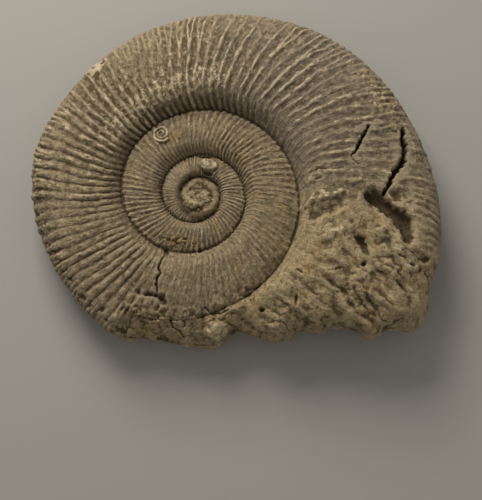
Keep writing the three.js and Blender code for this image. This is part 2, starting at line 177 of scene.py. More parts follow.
class Noise:
    """Smooth noise in space that is the same in every run."""

    GRADIENTS = np.array(
        [step for step in product((-1, 0, 1), repeat=3) if sum(map(abs, step)) == 2], float
    )
    PRIMES = (73856093, 19349663, 83492791, 39916801)
    MIX = 1274126177
    MASK = 0x7FFFFFFF
    GAIN = 1.5  # brings the values to about -1 to 1
    DRAW_BITS = 10  # of each of a block's three random numbers
    STEP_UP = 0.6  # how far a block's top may lie over or under the others
    FAR = 9.0  # further than any block's middle

    @classmethod
    def _scramble(cls, cell: Array, seed: int) -> Array:
        """Gives a whole number for each cell, scattered but repeatable.

        Args:
            cell: Cells' whole-number places, one a row.
            seed: Which noise.

        Returns:
            One number for each cell.
        """
        mixed = np.full(len(cell), seed * cls.PRIMES[3], np.int64)
        for axis in range(3):
            mixed ^= cell[:, axis] * cls.PRIMES[axis]
        mixed &= cls.MASK
        mixed = ((mixed ^ (mixed >> 13)) * cls.MIX) & cls.MASK
        return mixed ^ (mixed >> 16)

    @classmethod
    def lumps(cls, points: Array, size: Size, seed: int) -> Array:
        """Gives rolling noise.

        Args:
            points: Places, one a row.
            size: Size of a lump, or its size along each axis.
            seed: Which noise.

        Returns:
            Values of about -1 to 1.
        """
        scaled = points / np.array(size)
        low = np.floor(scaled)
        part = scaled - low
        fade = part**3 * (part * (part * 6 - 15) + 10)
        low = low.astype(np.int64)
        total = np.zeros(len(points))
        for corner in product((0, 1), repeat=3):
            step = np.array(corner)
            number = cls._scramble(low + step, seed)
            slope = cls.GRADIENTS[number % len(cls.GRADIENTS)]
            share = np.where(step, fade, 1 - fade).prod(axis=1)
            total += share * (slope * (part - step)).sum(axis=1)
        return total * cls.GAIN

    @classmethod
    def rough(cls, points: Array, size: Size, seed: int, layers: int, fall: float) -> Array:
        """Adds finer and finer noise, each layer half the size of the last.

        Args:
            points: Places, one a row.
            size: Size of the first layer's lumps, or their size along each axis.
            seed: Which noise.
            layers: How many layers.
            fall: Each layer's strength, as a share of the last one's.

        Returns:
            Values, of about -1 to 1 in the first layer.
        """
        sizes = np.array(size, float)
        total = np.zeros(len(points))
        strength = 1.0
        for layer in range(layers):
            total += strength * cls.lumps(points, tuple(np.broadcast_to(sizes, 3)), seed + layer)
            sizes = sizes / 2
            strength *= fall
        return total

    @classmethod
    def blocks(cls, places: Array, seed: int) -> tuple[Array, Array]:
        """Splits a plane into uneven blocks of about one unit.

        Args:
            places: Places in the plane, one a row.
            seed: Which blocks.

        Returns:
            How far each place is inside its block's edge, and the height there of its block's own
            tilted top, of about -1 to 1.
        """
        low = np.floor(places).astype(np.int64)
        largest = 2**cls.DRAW_BITS - 1
        nearest = np.full(len(places), cls.FAR)
        second = nearest.copy()
        own = np.zeros(len(places))
        for step in product((-1, 0, 1), repeat=2):
            cell = low + np.array(step)
            number = cls._scramble(np.column_stack([cell, 0 * cell[:, 0]]), seed)
            draws = [(number >> k * cls.DRAW_BITS) & largest for k in range(3)]
            spot = np.column_stack(draws[:2]) / largest
            away = places - cell - spot
            far = np.linalg.norm(away, axis=1)
            closer = far < nearest
            second = np.where(closer, nearest, np.minimum(second, far))
            tilt = ((2 * spot[:, ::-1] - 1) * away).sum(axis=1)
            top = cls.STEP_UP * (2 * draws[2] / largest - 1) + tilt
            own = np.where(closer, top, own)
            nearest = np.where(closer, far, nearest)
        return second - nearest, own


@dataclass(frozen=True)
class Grain:
    """One kind of unevenness: noise with lumps of a size, in finer and finer layers."""

    size: Size
    seed: int
    layers: int = 2
    fall: float = 0.5
    height: float = 1.0

    def at(self, points: Array) -> Array:
        """Gives the unevenness at places, one a row."""
        return self.height * Noise.rough(points, self.size, self.seed, self.layers, self.fall)


@dataclass(frozen=True)
class Rolls:
    """Hills and dips in rows: two crossing waves, each by its x and y steps and its start."""

    first: tuple[float, float, float]
    second: tuple[float, float, float]
    height: float

    def at(self, x: Array, y: Array) -> Array:
        """Gives the relief at places."""
        waves = (np.sin(a * x + b * y + start) for a, b, start in (self.first, self.second))
        return self.height * math.prod(waves)


@dataclass(frozen=True)
class Coil:
    """The smooth form of the coil: seams, rim, section and the rock at the broken mouth end.

    Turn 0 is at +X on the outer whorl. Turns grow clockwise seen from above, up to the mouth. A share
    runs across a whorl, from its seam at 0 to its rim at 1.
    """

    seam_radius: float = 46.7
    growth: float = 2.125
    offset: float = 0.039
    offset_turn: float = 10.6 * DEGREE
    oval: float = 0.0084
    oval_turn: float = -43 * DEGREE
    hidden_rim: float = 2.3
    mouth: float = 0.323
    half_thickness_at_0: float = 18.0
    thickening: float = 1.6
    flank_top: float = 0.3
    wall_round: float = 2.2
    rim_round: float = 2.6
    break_round: float = 5.0
    low_break_round: float = 2.8
    inner_middle: float = 14.2
    worn_base: float = 0.8
    inner_end: float = 0.1  # share of a whorl from which the one inside it can't show through
    inner_drop: float = 60.0
    rock_turns: Pair = (-0.02, 0.03)  # over which the shell gives way to rock
    low_turns: Pair = (0.14, 0.22)  # over which the rock's top gets low
    rim_turns: Pair = (-0.8, -0.67)  # over which the rim comes out from under the next whorl
    whorls: int = 5
    seam_play: float = 0.02
    edge: SmoothCurve = SmoothCurve(
        (
            (-0.8, 58.5), (-0.72, 66.5), (-0.67, 72.8), (-0.62, 71.5), (-0.56, 72), (-0.5, 74.9),
            (-0.46, 76.8), (-0.4, 77), (-0.35, 79), (-0.28, 83.8), (-0.2, 90.4), (-0.15, 95.8),
            (-0.1, 99.8), (-0.05, 103.4), (0, 108.2), (0.03, 110.8), (0.047, 112.4), (0.06, 111.7),
            (0.08, 115.4), (0.09, 113.9), (0.1, 105.2), (0.11, 101), (0.116, 91), (0.124, 85.6),
            (0.134, 82.6), (0.143, 78), (0.155, 76.8), (0.168, 75.2), (0.18, 71.6), (0.19, 66.2),
            (0.2, 63.8), (0.215, 65), (0.23, 67.9), (0.26, 67.5), (0.3, 67.5), (0.325, 71.5),
            (0.36, 73.5),
        )
    )
    rock_top: SmoothCurve = SmoothCurve(
        (
            (-0.1, 1), (0, 0.98), (0.06, 0.95), (0.11, 0.86), (0.16, 0.6), (0.2, 0.36),
            (0.25, 0.24), (0.36, 0.2),
        )
    )
    rock_fall: SmoothCurve = SmoothCurve(
        ((0, 0), (0.05, 0), (0.12, 2), (0.17, 5), (0.22, 8), (0.36, 7))
    )

    def seam(self, turn: Array) -> Array:
        """Gives the radius of the groove on a whorl's inner side.

        Args:
            turn: Where along the coil.

        Returns:
            Radii.
        """
        offset = self.offset * np.cos(TAU * (turn - self.offset_turn))
        oval = self.oval * np.cos(TAU * (2 * turn - self.oval_turn))
        return self.seam_radius * self.growth**turn * (1 - offset + oval)

    def rim(self, turn: Array) -> Array:
        """Radius of a whorl's outer edge, also where the next whorl hides it."""
        hidden = self.hidden_rim * self.seam(turn)
        return blend(hidden, self.edge(turn), smoothstep(turn, *self.rim_turns))

    def share(self, turn: Array, radius: Array) -> Array:
        """How far across its whorl a radius lies."""
        seam = self.seam(turn)
        return np.clip((radius - seam) / (self.rim(turn) - seam), 0, 1)

    def half_thickness(self, turn: Array) -> Array:
        """Half of a whorl's thickness."""
        return self.half_thickness_at_0 * self.thickening**turn

    def middle(self, turn: Array) -> Array:
        """Height of a whorl's middle plane: it climbs as the whorl on the ground thickens."""
        return np.maximum(self.half_thickness(turn) - self.worn_base, self.inner_middle)

    def rock(self, turn: Array) -> Array:
        """How much of a section is broken rock."""
        return smoothstep(turn, *self.rock_turns)

    def flank(self, turn: Array, share: Array, side: int) -> Array:
        """Height of a whorl's surface over the ground.

        Args:
            turn: Where along the coil.
            share: Where across the whorl.
            side: 1 for the top, -1 for the underside.

        Returns:
            Heights.
        """
        rock = self.rock(turn)
        low = smoothstep(turn, *self.low_turns) if side > 0 else 1.0
        broken = blend(self.break_round, self.low_break_round, low)
        inside = share < self.flank_top
        reach = np.where(inside, self.flank_top, 1 - self.flank_top)
        power = np.where(inside, self.wall_round, blend(self.rim_round, broken, rock))
        swell = np.sqrt(np.maximum(0, 1 - (np.abs(share - self.flank_top) / reach) ** power))
        height = blend(1, self.rock_top(turn), rock) if side > 0 else 1.0
        fall = rock * self.rock_fall(turn) * share
        return self.middle(turn) + side * self.half_thickness(turn) * height * swell - fall

    def top(self, turn: Array, radius: Array) -> Array:
        """Gives the height of the top, where each whorl rises out of the one inside it.

        Args:
            turn: Where along the coil.
            radius: How far from the axis.

        Returns:
            Heights.
        """
        share = self.share(turn, radius)
        own = self.flank(turn, share, 1)
        inner = self.flank(turn - 1, self.share(turn - 1, radius), 1)
        return np.maximum(own, inner - self.inner_drop * np.maximum(0, share - self.inner_end))

    def place(self, x: Array, y: Array) -> tuple[Array, Array]:
        """Finds the whorl over each place.

        Args:
            x: Distances from the axis to the right.
            y: Distances from the axis to the back.

        Returns:
            Turns and shares.
        """
        radius = np.hypot(x, y)
        part = -np.arctan2(y, x) / TAU
        turn = part + np.floor(self.mouth - part)
        for _ in range(self.whorls - 1):
            turn = np.where(self.seam(turn) > radius - self.seam_play, turn - 1, turn)
        return turn, self.share(turn, radius)


@dataclass(frozen=True)
class Ribs:
    """The ribs: how many, how high, and how they lean."""

    per_turn: float = 89.0
    even_from: float = -0.9  # inside this turn there are fewer to a turn
    fewer: float = 1.34  # on each whorl than on the next
    height: SmoothCurve = SmoothCurve(  # crest over groove
        ((-1.5, 1.15), (-0.8, 1.3), (-0.65, 1.35), (-0.45, 1.3), (-0.3, 1.1), (-0.1, 0.88), (0.05, 0.8))
    )
    wall_lean: float = 5 * DEGREE
    wall_end: float = 0.2
    patch: float = 5.0  # length over which a rib's height varies along it
    forward: float = 4.5 * DEGREE
    forward_more: float = 2.0 * DEGREE
    more_from: float = -0.1  # turn round which they lean by that much more
    more_reach: float = 0.09
    bow: float = 1.2
    fork_from: float = 0.52
    fork_to: float = 0.86
    forking: float = -0.3  # under this value of its own a rib stays single
    late_forks: float = 0.16  # share by which ribs fork nearer the rim on the coil's left
    branch: float = 0.25  # how far a fork's branches go to its sides, in ribs
    sharpness: SmoothCurve = SmoothCurve(  # under 1 for broad ribs, over 1 for narrow ones
        (
            (-2, 1.0), (-1.1, 1.1), (-0.95, 1.3), (-0.72, 0.6), (-0.6, 0.42), (-0.46, 0.5),
            (-0.38, 1.5), (-0.28, 2.4), (-0.12, 2.2), (0.03, 1.0),
        )
    )
    wall_sharpness: float = 0.7
    flank_from: Pair = (0.05, 0.25)  # share over which the wall's sharpness gives way
    draw: float = 12.9898  # turns a rib's number into a value of its own, as its sine
    second_draw: float = 4.1414
    on_wall: SmoothCurve = SmoothCurve(  # how much of a rib's height shows on the inner wall
        (
            (-1.7, 0.9), (-0.75, 0.7), (-0.64, 0.15), (-0.52, 0.3), (-0.46, 0.7), (-0.27, 0.6),
            (-0.2, 0.3), (0.05, 0.2),
        )
    )

    def count(self, turn: Array) -> Array:
        """Counts the ribs from the coil's start.

        Args:
            turn: Where along the coil.

        Returns:
            Numbers of ribs, with the part of the last one.
        """
        rate = math.log(self.fewer)
        inner = self.per_turn / rate
        early = inner * np.exp(rate * np.minimum(turn - self.even_from, 0))
        return early + self.per_turn * np.maximum(turn - self.even_from, 0)

    def lean(self, turn: Array, share: Array) -> Array:
        """Gives how far a rib's line runs ahead of its foot.

        Args:
            turn: Where along the coil.
            share: Where across the whorl.

        Returns:
            Turns.
        """
        wall = self.wall_lean * np.maximum(0, 1 - share / self.wall_end) ** 2
        more = self.forward_more * hump(turn - self.more_from, self.more_reach)
        return wall + (self.forward + more) * share**self.bow

    def profile(self, count: Array, share: Array, sharpness: Array) -> Array:
        """Gives the shape across the ribs, most of which fork on their way to the rim.

        Args:
            count: Ribs from the coil's start.
            share: How far across the whorl, from seam to rim.
            sharpness: How narrow the ribs are.

        Returns:
            1 on a crest and 0 in a groove.
        """
        number = np.floor(count)
        apart = smoothstep(share, self.fork_from, self.fork_to)
        side = self.branch * apart * (np.sin(number * self.draw + 1) > self.forking)
        across = count - number - 0.5
        far = np.minimum(np.abs(across - side), np.abs(across + side)) * (1 + apart)
        return (0.5 + 0.5 * np.cos(TAU * np.minimum(far, 0.5))) ** sharpness

    def sharpened(self, turn: Array, share: Array) -> Array:
        """How narrow the ribs are: broad on the inner wall, as the curve says on the flank."""
        return blend(self.wall_sharpness, self.sharpness(turn), smoothstep(share, *self.flank_from))

    def own_height(self, number: Array) -> Array:
        """Each rib's own height, about 1."""
        return 1 + 0.3 * np.sin(number * self.draw) * np.sin(number * self.second_draw)


@dataclass(frozen=True)
class Form:
    """A lump or a hollow with an oval outline: negative heights are hollows."""

    x: float
    y: float
    length: float
    width: float
    turned: float  # degrees, anticlockwise seen from above
    height: float
    edge: float = 0.8  # how much of the way from its middle the slope takes
    ragged: float = 0.25

    def shape(self, x: Array, y: Array, wander: Array) -> Array:
        """Gives the form's outline and slope.

        Args:
            x: Places from the axis to the right.
            y: Places from the axis to the back.
            wander: How the outline strays there.

        Returns:
            Shares from 0 outside the form to 1 at its middle.
        """
        along, across = turned(x - self.x, y - self.y, self.turned)
        far = np.hypot(2 * along / self.length, 2 * across / self.width)
        return 1 - smoothstep(far + self.ragged * wander, 1 - self.edge, 1)


@dataclass(frozen=True)
class Crack:
    """An open crack along a line of points."""

    BANK = (0.35, 1.25)  # where its side starts and ends, in half widths from its line

    points: Pairs
    width: float
    depth: float
    taper: float = 0.3  # its width at the ends, as a share of that at the middle
    ragged: float = 0.25

    def shape(self, x: Array, y: Array, wander: Array) -> Array:
        """Gives the crack's line and its sloping sides.

        Args:
            x: Places from the axis to the right.
            y: Places from the axis to the back.
            wander: How its sides stray there.

        Returns:
            Shares from 0 outside the crack to 1 along its line.
        """
        line = np.array(self.points)
        steps = np.linalg.norm(np.diff(line, axis=0), axis=1)
        total = steps.sum()
        best = np.full(len(x), np.inf)
        along_best = np.zeros(len(x))
        done = 0.0
        for (start, end), step in zip(zip(line[:-1], line[1:]), steps):
            way = (end - start) / step
            part = np.clip((x - start[0]) * way[0] + (y - start[1]) * way[1], 0, step)
            far = np.hypot(x - start[0] - part * way[0], y - start[1] - part * way[1])
            nearer = far < best
            best = np.where(nearer, far, best)
            along_best = np.where(nearer, (done + part) / total, along_best)
            done += step
        belly = 1 - (2 * along_best - 1) ** 2
        half = self.width / 2 * (self.taper + (1 - self.taper) * np.sqrt(belly))
        start, end = (part * half for part in self.BANK)
        return 1 - smoothstep(best + self.ragged * self.width * wander, start, end)


HOLLOWS = (  # under the surface round them
    # the deep double cavity at the right
    Form(78.6, -5.6, 13, 11, -30, -5.2, 0.8, 0.15),
    Form(89.8, -15.6, 12, 11, -60, -5.0, 0.6, 0.15),
    Form(87.6, -4.8, 15, 11, 40, -2.2, 1.0, 0.15),
    # the slanting cavity in the rock, with holes beside it
    Form(73.6, -26.4, 15, 9.6, -55, -1.8, 0.9, 0.15),
    Form(72.4, -26.0, 14, 5.6, -58, -4.6, 0.8, 0.2),
    Form(78.6, -25.6, 8, 6, 20, -1.2, 1.0, 0.15),
    Form(72.5, -35.0, 3.8, 2.8, 40, -3.2, 0.8, 0.1),
    Form(67.7, -16.6, 4.4, 3, 20, -1.2, 1.0),
    # the trough between the shell and the rock
    Form(57.4, -10.0, 21, 8.6, 16, -1.9, 1.0, 0.12),
    Form(52.4, -12.0, 14, 9.0, 26, -1.7, 1.0, 0.1),
    # holes in the rock
    Form(43.5, -49.5, 5.6, 2.4, 85, -2.2, 0.8),
    Form(28.8, -53.6, 3.4, 3.2, 0, -2.6, 0.7, 0.1),
    Form(99.9, -32.4, 5.6, 3.8, 10, -2.0, 0.9),
    Form(97.2, -37.0, 3.2, 2.4, 40, -1.4, 0.9),
    Form(93.6, -35.0, 2.8, 2.4, 0, -1.6, 0.8, 0.1),
    Form(61.2, -47.0, 3.4, 2.4, 30, -1.0, 1.0),
    Form(45.6, -38.2, 6.5, 1.8, -25, -1.3, 0.9),
    # furrows along the rock's bedding
    Form(75.5, -51.5, 14, 3.6, -48, -2.2, 1.0),
    Form(81.0, -48.8, 16, 3.4, -42, -2.0, 1.0),
    Form(88.5, -44.2, 15, 3.0, -40, -1.7, 1.0),
    Form(66.8, -52.0, 11, 3.2, -52, -2.0, 1.0),
    Form(60.0, -44.0, 18, 3.0, -36, -1.4, 1.0),
    Form(84.0, -36.6, 16, 2.6, -34, -1.3, 1.0),
    # pits on the seam
    Form(-13.6, -27.0, 5.0, 3.6, -40, -2.6, 0.8),
    Form(-12.6, -21.4, 3.0, 2.4, 0, -1.0, 0.9),
    Form(-8.4, -23.0, 2.8, 2.2, 20, -0.9, 0.9),
    Form(-5.0, -21.2, 2.6, 2.0, 0, -0.8, 0.9),
    # pits of the fracture at the lower left
    Form(-14.6, -49.0, 7.0, 4.6, -48, -3.6, 0.8, 0.35),
    Form(-19.6, -46.9, 11, 3.2, -8, -2.6, 0.8, 0.45),
    Form(-24.8, -46.0, 4.4, 3.0, -50, -1.8, 0.9),
    Form(-16.4, -52.6, 3.4, 2.4, 60, -1.0, 1.0),
    Form(-25.6, -51.8, 3.0, 2.6, 0, -1.2, 1.0),
    Form(-40.9, -53.1, 4.0, 3.0, 30, -1.4, 1.0),
    # chips in the shell towards the front
    Form(1.8, -26.3, 5.2, 2.4, 35, -1.8, 0.9),
    Form(3.0, -55.4, 9, 2.6, 18, -1.4, 1.0),
    Form(20.1, -56.9, 4.5, 2.4, 10, -1.3, 1.0),
)

LUMPS = (  # over the surface round them
    # ridges and swellings of the rock
    Form(52.0, 4.6, 13, 4.6, 14, 1.3, 0.9, 0.5),
    Form(58.0, -4.0, 20, 4.6, 8, 1.8, 0.9, 0.5),
    Form(49.4, -6.6, 11, 3.4, 32, 1.2, 0.9, 0.5),
    Form(68.0, 2.2, 14, 4.4, 8, 1.2, 0.9, 0.5),
    Form(60.0, -20.4, 24, 8.4, 16, 1.3, 1.0),
    Form(80.2, -21.4, 9, 8, 20, 1.8, 0.8, 0.4),
    Form(86.4, -28.6, 11, 9, 20, 1.8, 0.8, 0.4),
    Form(70.0, -40.6, 12, 7, 15, 1.4, 0.8, 0.4),
    Form(93.3, -35.2, 9, 8, 0, 0.9, 0.5),
    Form(57.6, -32.0, 18, 9, -15, 0.9, 1.0),
    Form(83.4, -38.6, 20, 5, -34, 1.4, 0.9, 0.4),
    Form(71.0, -46.0, 22, 5, -38, 1.4, 0.9, 0.4),
    # the knob on the front edge, and lumps beside it
    Form(9.4, -62.2, 14.5, 10.6, 14, 3.4, 0.6, 0.1),
    Form(35.4, -60.6, 15, 8, 16, 1.4, 0.9),
    Form(9.2, -50.3, 12, 8, 10, 1.0, 0.9),
    # patches that stand on the shell
    Form(76.4, 27.6, 17, 5.0, 22, 0.5, 0.35),
    Form(-46.2, 58.2, 11, 7, 40, 0.9, 0.6, 0.5),
    Form(-57.6, 28.4, 4.4, 4.0, 0, 0.6, 0.6),
)

CALM = (  # where the rock is smooth, by how much
    Form(9.4, -62.2, 17, 13, 14, 1.0, 0.5),
    Form(64.0, -15.6, 26, 12, 12, 0.9, 1.0),
    Form(58.0, -20.0, 30, 12, 16, 1.0, 1.0),
    Form(46.4, -14.0, 7, 40, 8, 1.0, 1.0),
    Form(64.0, -11.0, 20, 6, 20, 0.8, 1.0),
    Form(76.0, -12.0, 10, 8, 0, 0.7, 1.0),
    Form(56.0, -30.0, 16, 8, -20, 0.6, 1.0),
    Form(93.3, -35.2, 10, 9, 0, 0.8, 1.0),
)

WORN = (  # where the ribs are worn away, by how much
    Form(76.4, 27.8, 20, 6.4, 22, 0.9, 0.5),
    Form(-46.2, 58.2, 13, 9, 40, 0.9, 0.6),
    Form(60, 42, 22, 8, -50, 0.45, 0.9, 0.6),
    Form(-24, 55, 44, 28, 22, 0.7, 0.9, 0.7),
    Form(-9, -21.4, 19, 8, -8, 0.9, 0.9, 0.5),
    Form(5.2, 13.3, 14, 10, -8, 1.0, 0.5, 0.2),
    Form(-3, -15.4, 16, 5, 0, 0.7, 1.0, 0.5),
    Form(-62, 6, 9, 18, 0, 0.4, 0.9, 0.7),
    Form(94, 40, 24, 8, -55, 0.4, 0.9, 0.6),
    Form(36, 29, 10, 22, -35, 0.5, 0.9, 0.6),
    Form(60, 22, 22, 9, 25, 0.45, 0.9, 0.6),
)

CRUST = (  # rough crust on the shell, by how much
    Form(84.0, 41.0, 46, 17, -60, 1.0, 0.8, 0.4),
    Form(99.0, 10.0, 34, 9, -80, 0.8, 0.9, 0.4),
    Form(-24.0, 56.0, 44, 26, 22, 0.6, 0.9, 0.6),
    Form(-66.0, 0.0, 12, 60, 0, 0.5, 0.9, 0.6),
    Form(-9.0, -22.0, 23, 9, -8, 1.3, 0.8, 0.4),
)

PALE = (  # whitish crust and bare rock, by how much
    Form(-46.2, 58.2, 11, 7.4, 40, 0.85, 0.6, 0.6),
    Form(-57.6, 28.4, 4.6, 4.2, 0, 0.75, 0.6),
    Form(58.0, -3.0, 25, 5.6, 8, 0.72, 0.9, 0.6),
    Form(52.4, 5.0, 14, 4.0, 14, 0.6, 0.9, 0.6),
    Form(59.0, 7.0, 22, 7, 12, 0.42, 1.0, 0.6),
    Form(50.0, -5.0, 12, 3.6, 32, 0.6, 0.9, 0.6),
    Form(72.6, 3.6, 14, 8, 10, 0.5, 1.0, 0.6),
    Form(58.0, -20.6, 26, 9, 16, 0.65, 1.0, 0.5),
    Form(86.4, -28.0, 9, 7, 20, 0.6, 1.0, 0.6),
    Form(82.0, -19.8, 6, 7, 20, 0.5, 1.0, 0.6),
    Form(70.5, -39.6, 10, 4, 15, 0.55, 1.0, 0.6),
    Form(93.3, -35.2, 7.6, 6.6, 0, 0.62, 0.5, 0.2),
    Form(82.0, 43.0, 40, 12, -60, 0.52, 1.0, 0.6),
    Form(-26.0, -3.0, 14, 44, 0, 0.3, 1.0, 0.6),
    Form(97.0, 16.0, 36, 6, -82, 0.45, 1.0, 0.6),
    Form(33.0, -42.0, 44, 4.6, 33, 0.4, 1.0, 0.5),
    Form(9.6, -62.6, 14, 11, 14, 0.7, 0.6, 0.2),
    Form(5.2, 13.2, 8.6, 5.2, -8, 0.5, 0.8, 0.4),
)

OCHRE = (  # iron stains, by how much
    Form(84.0, 42.0, 48, 18, -60, 0.42, 1.0, 0.6),
    Form(99.0, 12.0, 36, 10, -82, 0.4, 1.0, 0.6),
    Form(-9.0, -22.0, 22, 9, -8, 0.7, 1.0, 0.5),
    Form(98.0, -34.0, 10, 12, 0, 0.55, 1.0, 0.6),
    Form(78.0, -26.5, 11, 9, 20, 0.6, 1.0, 0.6),
    Form(90.0, -21.0, 6, 9, 10, 0.5, 1.0, 0.6),
    Form(-31.9, -55.1, 16, 6, -25, 0.7, 1.0, 0.6),
    Form(-12.0, -58.5, 46, 10, 3, 0.5, 1.0, 0.6),
    Form(20.0, -45.4, 16, 2.4, 28, 0.6, 1.0, 0.5),
    Form(30.0, -60.0, 50, 8, 8, 0.6, 1.0, 0.6),
    Form(75.0, -55.0, 26, 8, -14, 0.6, 1.0, 0.6),
    Form(-70.0, 16.0, 8, 34, -10, 0.35, 1.0, 0.6),
    Form(-58.0, -30.0, 10, 30, 28, 0.4, 1.0, 0.6),
    Form(88.4, 55.6, 12, 6, -40, 0.6, 1.0, 0.6),
)

EARTH_AND_SHADE_PATCHES = (  # dark brown earth that isn't in a hollow, and painted shadow under the ledge over the trough
    Form(-22.0, -42.0, 30, 11, -22, 0.55, 1.0, 0.6),
    Form(0.6, -47.0, 20, 7, 4, 0.4, 1.0, 0.6),
    Form(-38.0, -46.0, 16, 8, -38, 0.5, 1.0, 0.6),
    # painted shadow under the ledge over the trough, with earth
    Form(56.0, -10.4, 21, 8.6, 18, 0.68, 1.0, 0.4),
    Form(82.0, -7.6, 22, 11, -35, 0.5, 0.9, 0.4),
    Form(77.0, -50.0, 32, 5, -42, 0.5, 1.0, 0.6),
    Form(88.0, -44.4, 20, 4, -40, 0.4, 1.0, 0.6),
    Form(66.0, -30.0, 16, 4, -30, 0.3, 1.0, 0.6),
    Form(60.0, -44.0, 24, 4, -36, 0.35, 1.0, 0.6),
    Form(88.7, 26.0, 6, 3.6, 40, 0.7, 0.8, 0.4),
    Form(-13.4, -1.0, 3.0, 10, 12, 0.9, 0.9, 0.4),
    Form(-9.0, -1.5, 6, 12, 0, 0.45, 1.0, 0.5),
    Form(1.6, 5.6, 15, 6.6, -4, 0.6, 0.9, 0.4),
    Form(-9.0, -22.6, 20, 7, -8, 0.5, 1.0, 0.6),
    Form(61.0, 29.0, 20, 12, 30, 0.28, 1.0, 0.5),
    Form(83.0, 20.0, 12, 12, 0, 0.28, 1.0, 0.5),
    Form(74.4, -30.4, 9, 6, -55, 0.7, 0.9, 0.4),
    Form(93.9, -35.2, 3.4, 2.8, 0, 0.9, 0.8, 0.1),
)

CRACKS = (
    Crack(
        (
            (75.4, -4.2), (79.5, -6.8), (84.6, -11.0), (89.4, -14.4), (91.2, -18.6), (91.8, -23.4),
        ),
        6.6,
        6.0,
        0.7,
        0.1,
    ),
    Crack(((76.8, 28.6), (74.6, 24.8), (72.9, 21.5), (71.4, 18.6), (69.4, 15.0)), 1.5, 5.0),
    Crack(((69.6, 15.6), (68.0, 13.6), (69.2, 11.4), (71.4, 9.8)), 0.9, 1.4),
    Crack(
        (
            (92.0, 29.6), (91.8, 22.6), (92.6, 16.7), (90.7, 10.7), (87.1, 7.2), (85.0, 2.3),
            (82.0, -3.6),
        ),
        2.4,
        8.0,
    ),
    Crack(
        (
            (-13.5, -28.0), (-15.4, -31.6), (-16.6, -35.3), (-15.3, -37.6), (-17.0, -39.8),
            (-17.2, -42.5), (-16.6, -46.0),
        ),
        1.0,
        2.4,
        0.6,
    ),
    Crack(((57.0, -37.8), (60.4, -37.2), (63.8, -36.2)), 0.8, 1.0),
    Crack(((-11.5, -57.2), (-10.1, -60.4), (-7.0, -61.7), (-4.9, -64.4)), 0.9, 1.2, 0.6),
    Crack(((3.9, -52.0), (6.5, -54.6), (11.0, -54.8), (14.2, -53.2)), 0.8, 1.0, 0.6),
    Crack(((50.0, 7.0), (54.0, 8.2), (60.0, 7.4), (65.0, 8.2)), 0.8, 0.7),
    Crack(((85.0, 27.4), (88.4, 26.0), (88.9, 22.6)), 0.9, 1.0),
)


